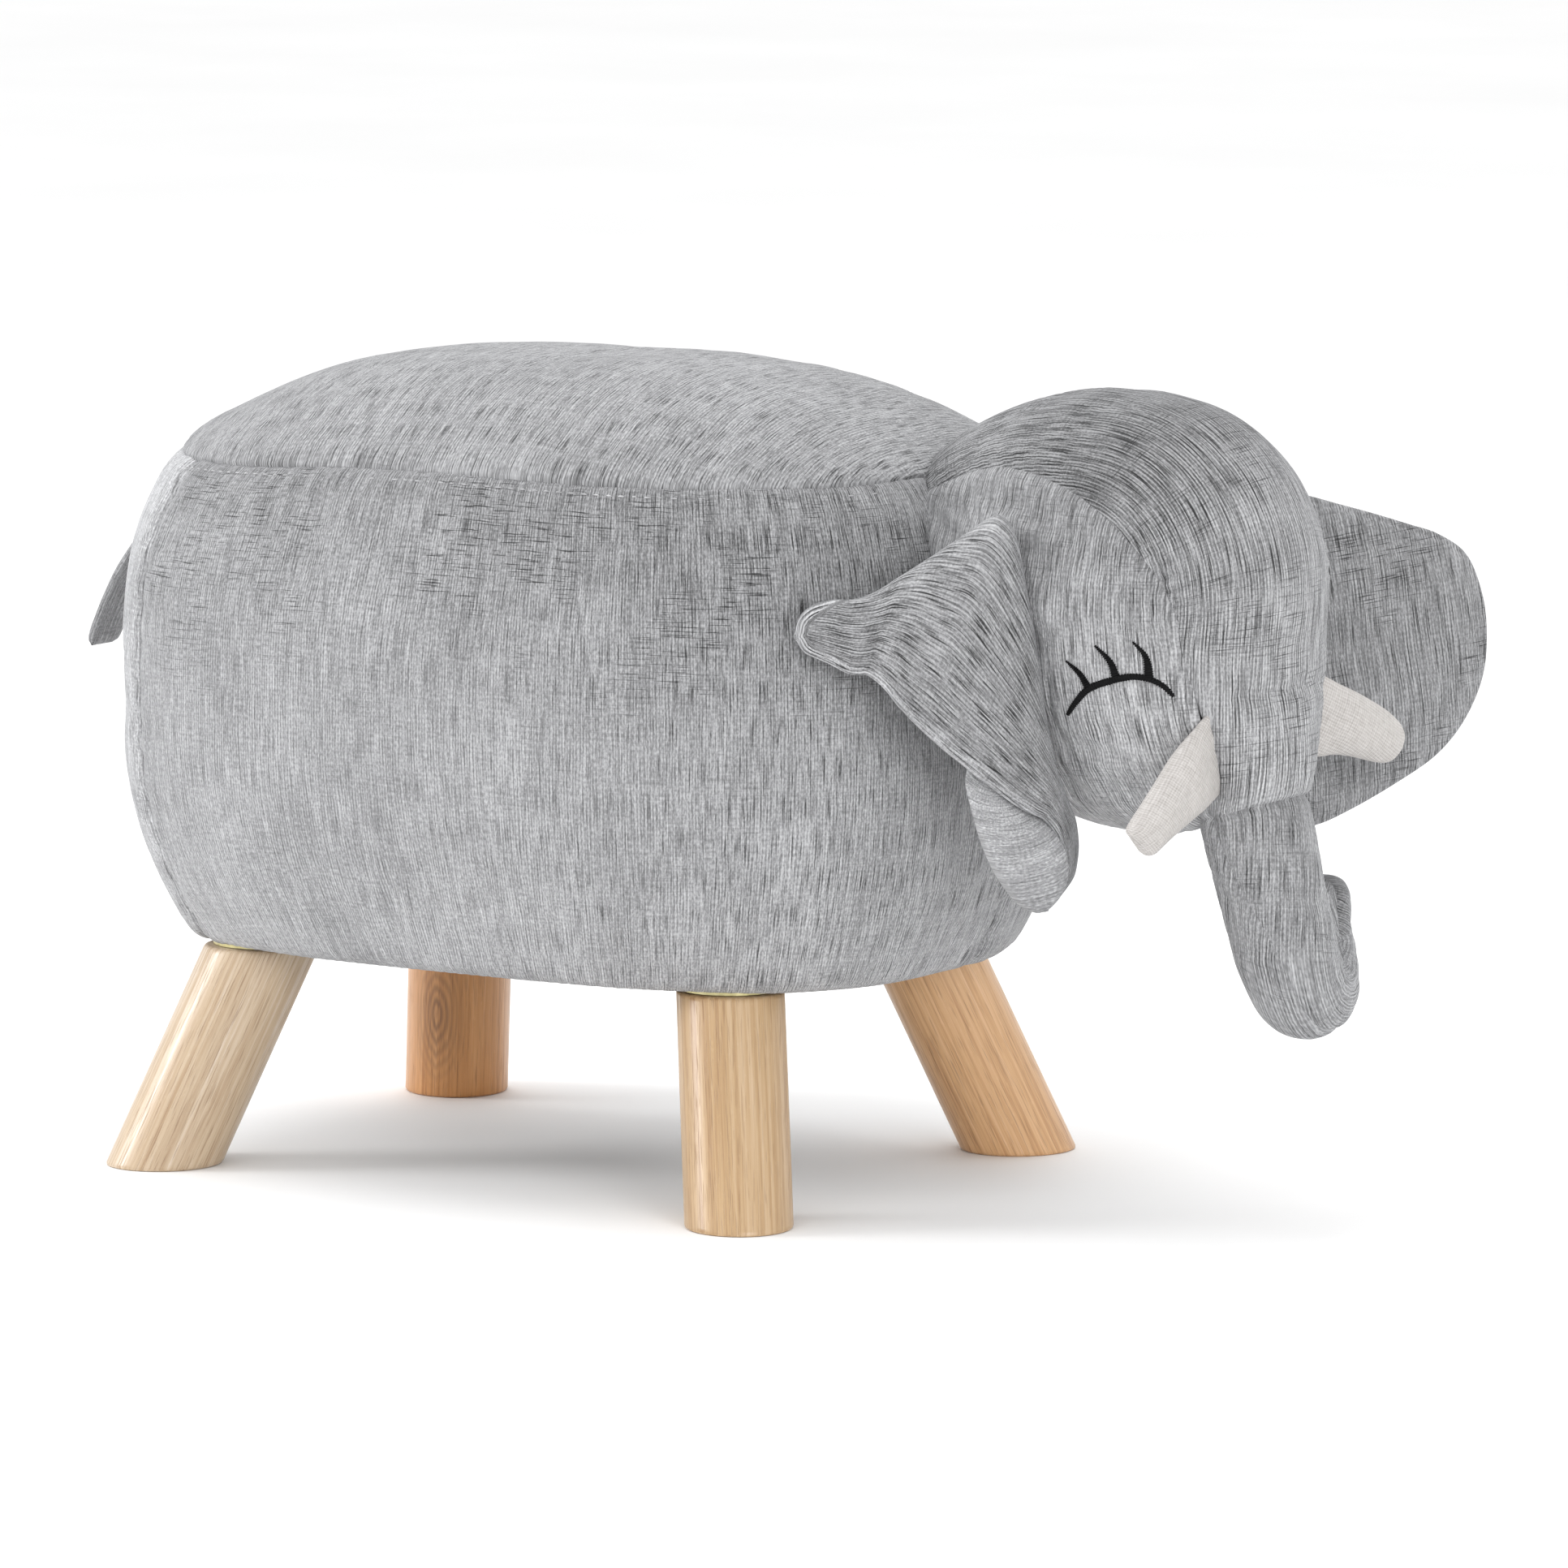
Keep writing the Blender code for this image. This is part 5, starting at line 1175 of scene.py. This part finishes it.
def add_tusk(name, side):
    """Two linen pieces sewn along their long edges, set in the seam beside the muzzle and stuffed."""
    start = np.array((62.8, side * 34.2, -47.5)) * MM
    if side < 0:
        way, up = np.array((0.059, -0.831, -0.554)), np.array((0.179, -0.537, 0.824))
        upper = [(-20, 13), (-4.2, 14.5), (11.8, 15), (28.3, 13.4), (43.8, 12), (54, 11.2), (57.4, 10), (58.6, 7.5)]
        lower = [(-20, -27), (-0.5, -25.4), (13.6, -22), (25.7, -18), (40.8, -13.4), (50, -11.2), (53.6, -9.8),
                 (55.4, -6.6)]
    else:
        way, up = np.array((0.043, 0.963, -0.266)), np.array((0.155, 0.256, 0.954))
        upper = [(-20, 24), (-3.7, 21.3), (7.1, 18.7), (21.8, 15.4), (36.8, 11.2), (46.4, 7), (50.6, 3.4), (52.4, 0)]
        lower = [(-20, -20), (5.8, -15.6), (14, -13.7), (24.8, -13.2), (39, -13.8), (46.5, -13), (50.4, -9.6),
                 (52.6, -5)]
    thick, narrow = np.cross(way, up), 0.92
    v = np.concatenate([np.linspace(0, 0.9, 56), 1 - 0.1 * np.linspace(1, 0, 16)[1:] ** 1.5])
    u = 0.5 - 0.5 * np.cos(math.pi * np.linspace(0, 1, 46))
    e1, e2 = even(np.array(upper) * MM, v), even(np.array(lower) * MM, v)
    middle, across = (e1 + e2) / 2, (e1 - e2) / 2 * narrow
    flat = middle[:, None] + across[:, None] * (1 - 2 * u)[None, :, None]
    inside = near(flat, np.concatenate([flat[:, 0], flat[-1], flat[::-1, -1]]))
    puff = dome(inside, 0.0125) ** 1.1
    depth = 0.0004 + 0.0068 * puff * (0.35 + 0.65 * smooth((flat[..., 0] + 0.004) / 0.024))
    depth += 0.0003 * bump(inside - 0.0014, 0.0008)
    place = start + way * flat[..., :1] + up * flat[..., 1:]
    wave = 0.0005 * rough(place, 0.02, 91.0 + side) * puff
    free = puff ** 2 * smooth((flat[..., 0] - 0.002) / 0.01)
    weave = np.array(Matrix.Rotation(math.radians(-12), 2))
    shape = Shape()
    faces = []
    for face in (1, -1):
        points = place + thick * (face * depth + wave)[..., None]
        around = lengths(points, 1)
        down = np.repeat(lengths(points, 0)[:, len(u) // 2, None], len(u), 1)
        cloth = np.stack([around - around[:, -1:] / 2, down], -1) @ weave
        faces.append(shape.grid(to_head(points[:, ::face]), cloth[:, ::face], False, free)[:, ::face])
    shape.rims(*faces, cloth)
    finish_soft(shape.make(f"{name}_tusk", LINEN), "linen", (f"{name}_tusk_cover", f"{name}_tusk_filling"))


def add_tail():
    """A flat padded strip that leaves the body level and hangs down."""
    corner = np.array((-0.66 * TAIL_BACK, 0, -0.16 * TAIL_FALL))
    end = np.array((-TAIL_BACK, 0, -TAIL_FALL))
    t = np.linspace(0, 1, 60)[:, None]
    path = 2 * t * (1 - t) * corner + t * t * end
    way = unit(corner * (1 - 2 * t) + end * t)
    lift = np.stack([way[:, 2], np.zeros(len(t)), -way[:, 0]], -1)
    angle = np.linspace(0, 2 * math.pi, 48, endpoint=False)
    c, s = np.cos(angle), np.sin(angle)
    wide, high = np.sign(s) * np.abs(s) ** 0.7, np.sign(c) * np.abs(c) ** 0.55
    close = np.sqrt(np.clip(1 - (np.clip(t - 0.95, 0, None) / 0.05) ** 2, 0.0, 1))
    girth = TAIL_THICK / 2 * (0.35 + 0.65 * smooth(t / 0.06)) * close
    across = TAIL_WIDTH / 2 * (0.75 + 0.25 * close)
    points = (path[:, None] + lift[:, None] * girth[..., None] * high[None, :, None]
              + np.array((0.0, 1, 0)) * (across[..., None] * wide[None, :, None]))
    points = points + 0.0004 * rough(points, 0.012, 97.0)[..., None] * lift[:, None]
    points = points + np.array(joints["tail_flex"]["pos_m"])
    cloth = np.stack(np.meshgrid(np.append(angle, 2 * math.pi) * 0.0085, run_along(path)), -1)
    shape = Shape()
    shape.caps(shape.grid(points, cloth, True), points.mean(1), cloth)
    finish_soft(shape.make("tail_strip", TAIL), "chenille", ("tail",), "tail")


# Legs, plates and the underside

def add_leg(node, seed):
    """A round splayed leg, cut level at its foot and at the plate, with eased edges."""
    x_sign = 1 if node.startswith("front") else -1
    y_sign = -1 if "right" in node else 1
    axis = unit(np.array((-x_sign * math.tan(LEG_FORE_SPLAY), -y_sign * math.tan(LEG_SIDE_SPLAY), 1.0)))
    across = unit(np.cross(axis, (0, 0, 1)))
    other = np.cross(axis, across)
    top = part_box(node)[1][2]
    ease = [(0, 1.0), (LEG_EDGE * 0.3, 0.3), (LEG_EDGE, 0.0)]
    heights = [(z, LEG_RADIUS - LEG_EDGE * share) for z, share in ease]
    heights += [(z, LEG_RADIUS) for z in np.linspace(LEG_EDGE * 2, top - LEG_EDGE * 2, 30)]
    heights += [(top - z, LEG_RADIUS - LEG_EDGE * share) for z, share in ease[::-1]]
    foot = FEET + np.array((x_sign * LEG_X, y_sign * LEG_Y, 0))
    angle = np.linspace(0, 2 * math.pi, 96, endpoint=False)
    circle = np.cos(angle)[:, None] * across + np.sin(angle)[:, None] * other
    points = np.array([foot + r * circle + axis * ((z - r * circle[:, 2:]) / axis[2]) for z, r in heights])
    cloth = np.stack(np.meshgrid(np.append(angle, 2 * math.pi) * LEG_RADIUS, [z for z, r in heights]), -1)
    shape = Shape()
    shape.caps(shape.grid(points, cloth, True), points.mean(1), cloth)
    turn = np.stack([across, other, axis]).tolist()
    wood = rubberwood(f"rubberwood_{node}", foot, turn, seed, LEG_TONES_AND_LIGHT[node], LEG_KNOTS.get(node, ()))
    finish(shape.make(f"{node}_turned", wood, 50), "rubberwood", node)


def add_dust_cover():
    """Black cloth stapled under the base: one sheet."""
    inset = 2 * (UNDERSIDE_INSET + EDGE_ROUND + 0.004)
    share = np.concatenate([[1.0, 0.996], np.linspace(0.985, 0.0, 30)])
    turns, shares = np.meshgrid(np.linspace(0, 2 * math.pi, 160, endpoint=False), share)
    x, y = plan(turns, BODY_LENGTH - inset, BODY_WIDTH - inset)
    x, y = BODY_FORWARD + (x - BODY_FORWARD) * shares, y * shares
    low = float(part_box("dust_cover")[0][2])
    points = FEET + np.stack([x, y, np.full_like(x, low + 0.0004)], -1)
    points[..., 2] += 0.0002 * rough(points, 0.05, 99.0) * smooth((1 - shares) / 0.1)
    flat = points[..., :2]
    shape = Shape()
    shape.grid(points, closed(flat), True)
    obj = shape.make("dust_cover_cloth", nonwoven("nonwoven_black"))
    finish(obj, "nonwoven", "dust_cover")


def dress_nodes():
    """Procedural finishes for the solids that stay in view."""
    boards = ["base_board", "seat_deck", "front_board", "rear_board", "left_rail", "right_rail"]
    screws = [f"{place}_{kind}_screw" for place in ("front", "rear", "left", "right") for kind in ("deck", "base")]
    plates = [f"{leg}_plate" for leg in legs]
    nuts, bolts = ([leg.replace("_leg", part) for leg in legs] for part in ("_tee_nut", "_hanger_bolt"))
    for material, names in (
            (plywood("plywood_birch"), boards),
            (metal("zinc_yellow", (0.62, 0.57, 0.33), (0.45, 0.40, 0.19), 0.28, 0.45), plates + nuts),
            (metal("steel_plain", (0.56, 0.57, 0.58), (0.42, 0.43, 0.44), 0.25, 0.42), bolts + screws)):
        for name in names:
            obj = nodes[name]
            obj.data.materials.clear()
            obj.data.materials.append(material)


# Studio

# Name, place, target, size and power of each lamp
LAMPS = (("overhead", (-0.3, 0.1, 2.2), (0, 0, 0.2), 1.6, 18), ("front", (2.3, -1.7, 0.9), (0.1, 0, 0.15), 1.2, 26),
         ("rear_right", (-2.2, -1.3, 1.0), (-0.1, 0, 0.2), 1.0, 32))
FLOOR_HALF, SKY_STRENGTH = 40.0, 1.10


def add_studio():
    mesh = bpy.data.meshes.new("floor")
    corners = [(x * FLOOR_HALF, y * FLOOR_HALF, 0) for x, y in ((-1, -1), (1, -1), (1, 1), (-1, 1))]
    mesh.from_pydata(corners, [], [(0, 1, 2, 3)])
    floor = bpy.data.objects.new("floor", mesh)
    bpy.context.scene.collection.objects.link(floor)
    n = Nodes("floor_pale")
    at = n.new("ShaderNodeTexCoord").outputs["Object"]
    grain = n.noise(at, (3, 3, 3), 3.0, 0.5)
    n.set(Base_Color=n.ramp(grain, ((0.3, (0.87, 0.87, 0.87)), (0.7, (0.90, 0.90, 0.90)))),
          Roughness=n.spread(grain, 0.3, 0.7, 0.65, 0.8))
    mesh.materials.append(n.material)
    world = bpy.data.worlds.new("studio")
    bpy.context.scene.world = world
    world.use_nodes = True
    background = world.node_tree.nodes["Background"]
    background.inputs["Color"].default_value = (1.0, 1.0, 1.0, 1)
    background.inputs["Strength"].default_value = SKY_STRENGTH
    bpy.context.scene.view_settings.view_transform = "Standard"

    for name, place, target, size, power in LAMPS:
        data = bpy.data.lights.new(name, "AREA")
        data.energy, data.shape, data.size = power, "DISK", size
        lamp = bpy.data.objects.new(name, data)
        lamp.location = place
        lamp.rotation_euler = (Vector(target) - Vector(place)).to_track_quat("-Z", "Y").to_euler()
        bpy.context.scene.collection.objects.link(lamp)


def add_camera():
    level = math.cos(CAMERA_TILT)
    back = np.array((math.sin(CAMERA_TURN) * level, -math.cos(CAMERA_TURN) * level, math.sin(CAMERA_TILT)))
    right = np.array((math.cos(CAMERA_TURN), math.sin(CAMERA_TURN), 0))
    up = np.cross(back, right)
    place = FEET + (0, 0, CAMERA_AIM_Z) + back * CAMERA_DISTANCE + right * CAMERA_RIGHT + up * CAMERA_UP
    data = bpy.data.cameras.new("camera")
    data.sensor_fit, data.sensor_width, data.lens = "HORIZONTAL", 36, 36 * CAMERA_FOCUS / PHOTO_WIDTH
    data.clip_end = 200
    camera = bpy.data.objects.new("camera", data)
    matrix = Matrix(np.stack([right, up, back], 1).tolist()).to_4x4()
    matrix.translation = Vector(place)
    camera.matrix_world = matrix
    bpy.context.scene.collection.objects.link(camera)
    bpy.context.scene.camera = camera


add_studio()
add_camera()
add_side("right_side", -REAR_SEAM, FRONT_SEAM, 160, SIDE, ("right_side_cover", "foam_wrap"))
add_side("left_side", FRONT_SEAM, REAR_SEAM, 150, SIDE, ("left_side_cover",))
add_side("rear_side", REAR_SEAM, 2 * math.pi - REAR_SEAM, 90, REAR, ("rear_cover",))
add_seat()
add_topstitch()
add_forehead()
for name, side in (("right", -1), ("left", 1)):
    add_cheek(name, side)
    add_eye(name, side)
    add_tusk(name, side)
add_trunk()
add_right_ear()
add_left_ear()
add_tail()
for seed, leg in enumerate(legs, 1):
    add_leg(leg, seed)
add_dust_cover()
dress_nodes()
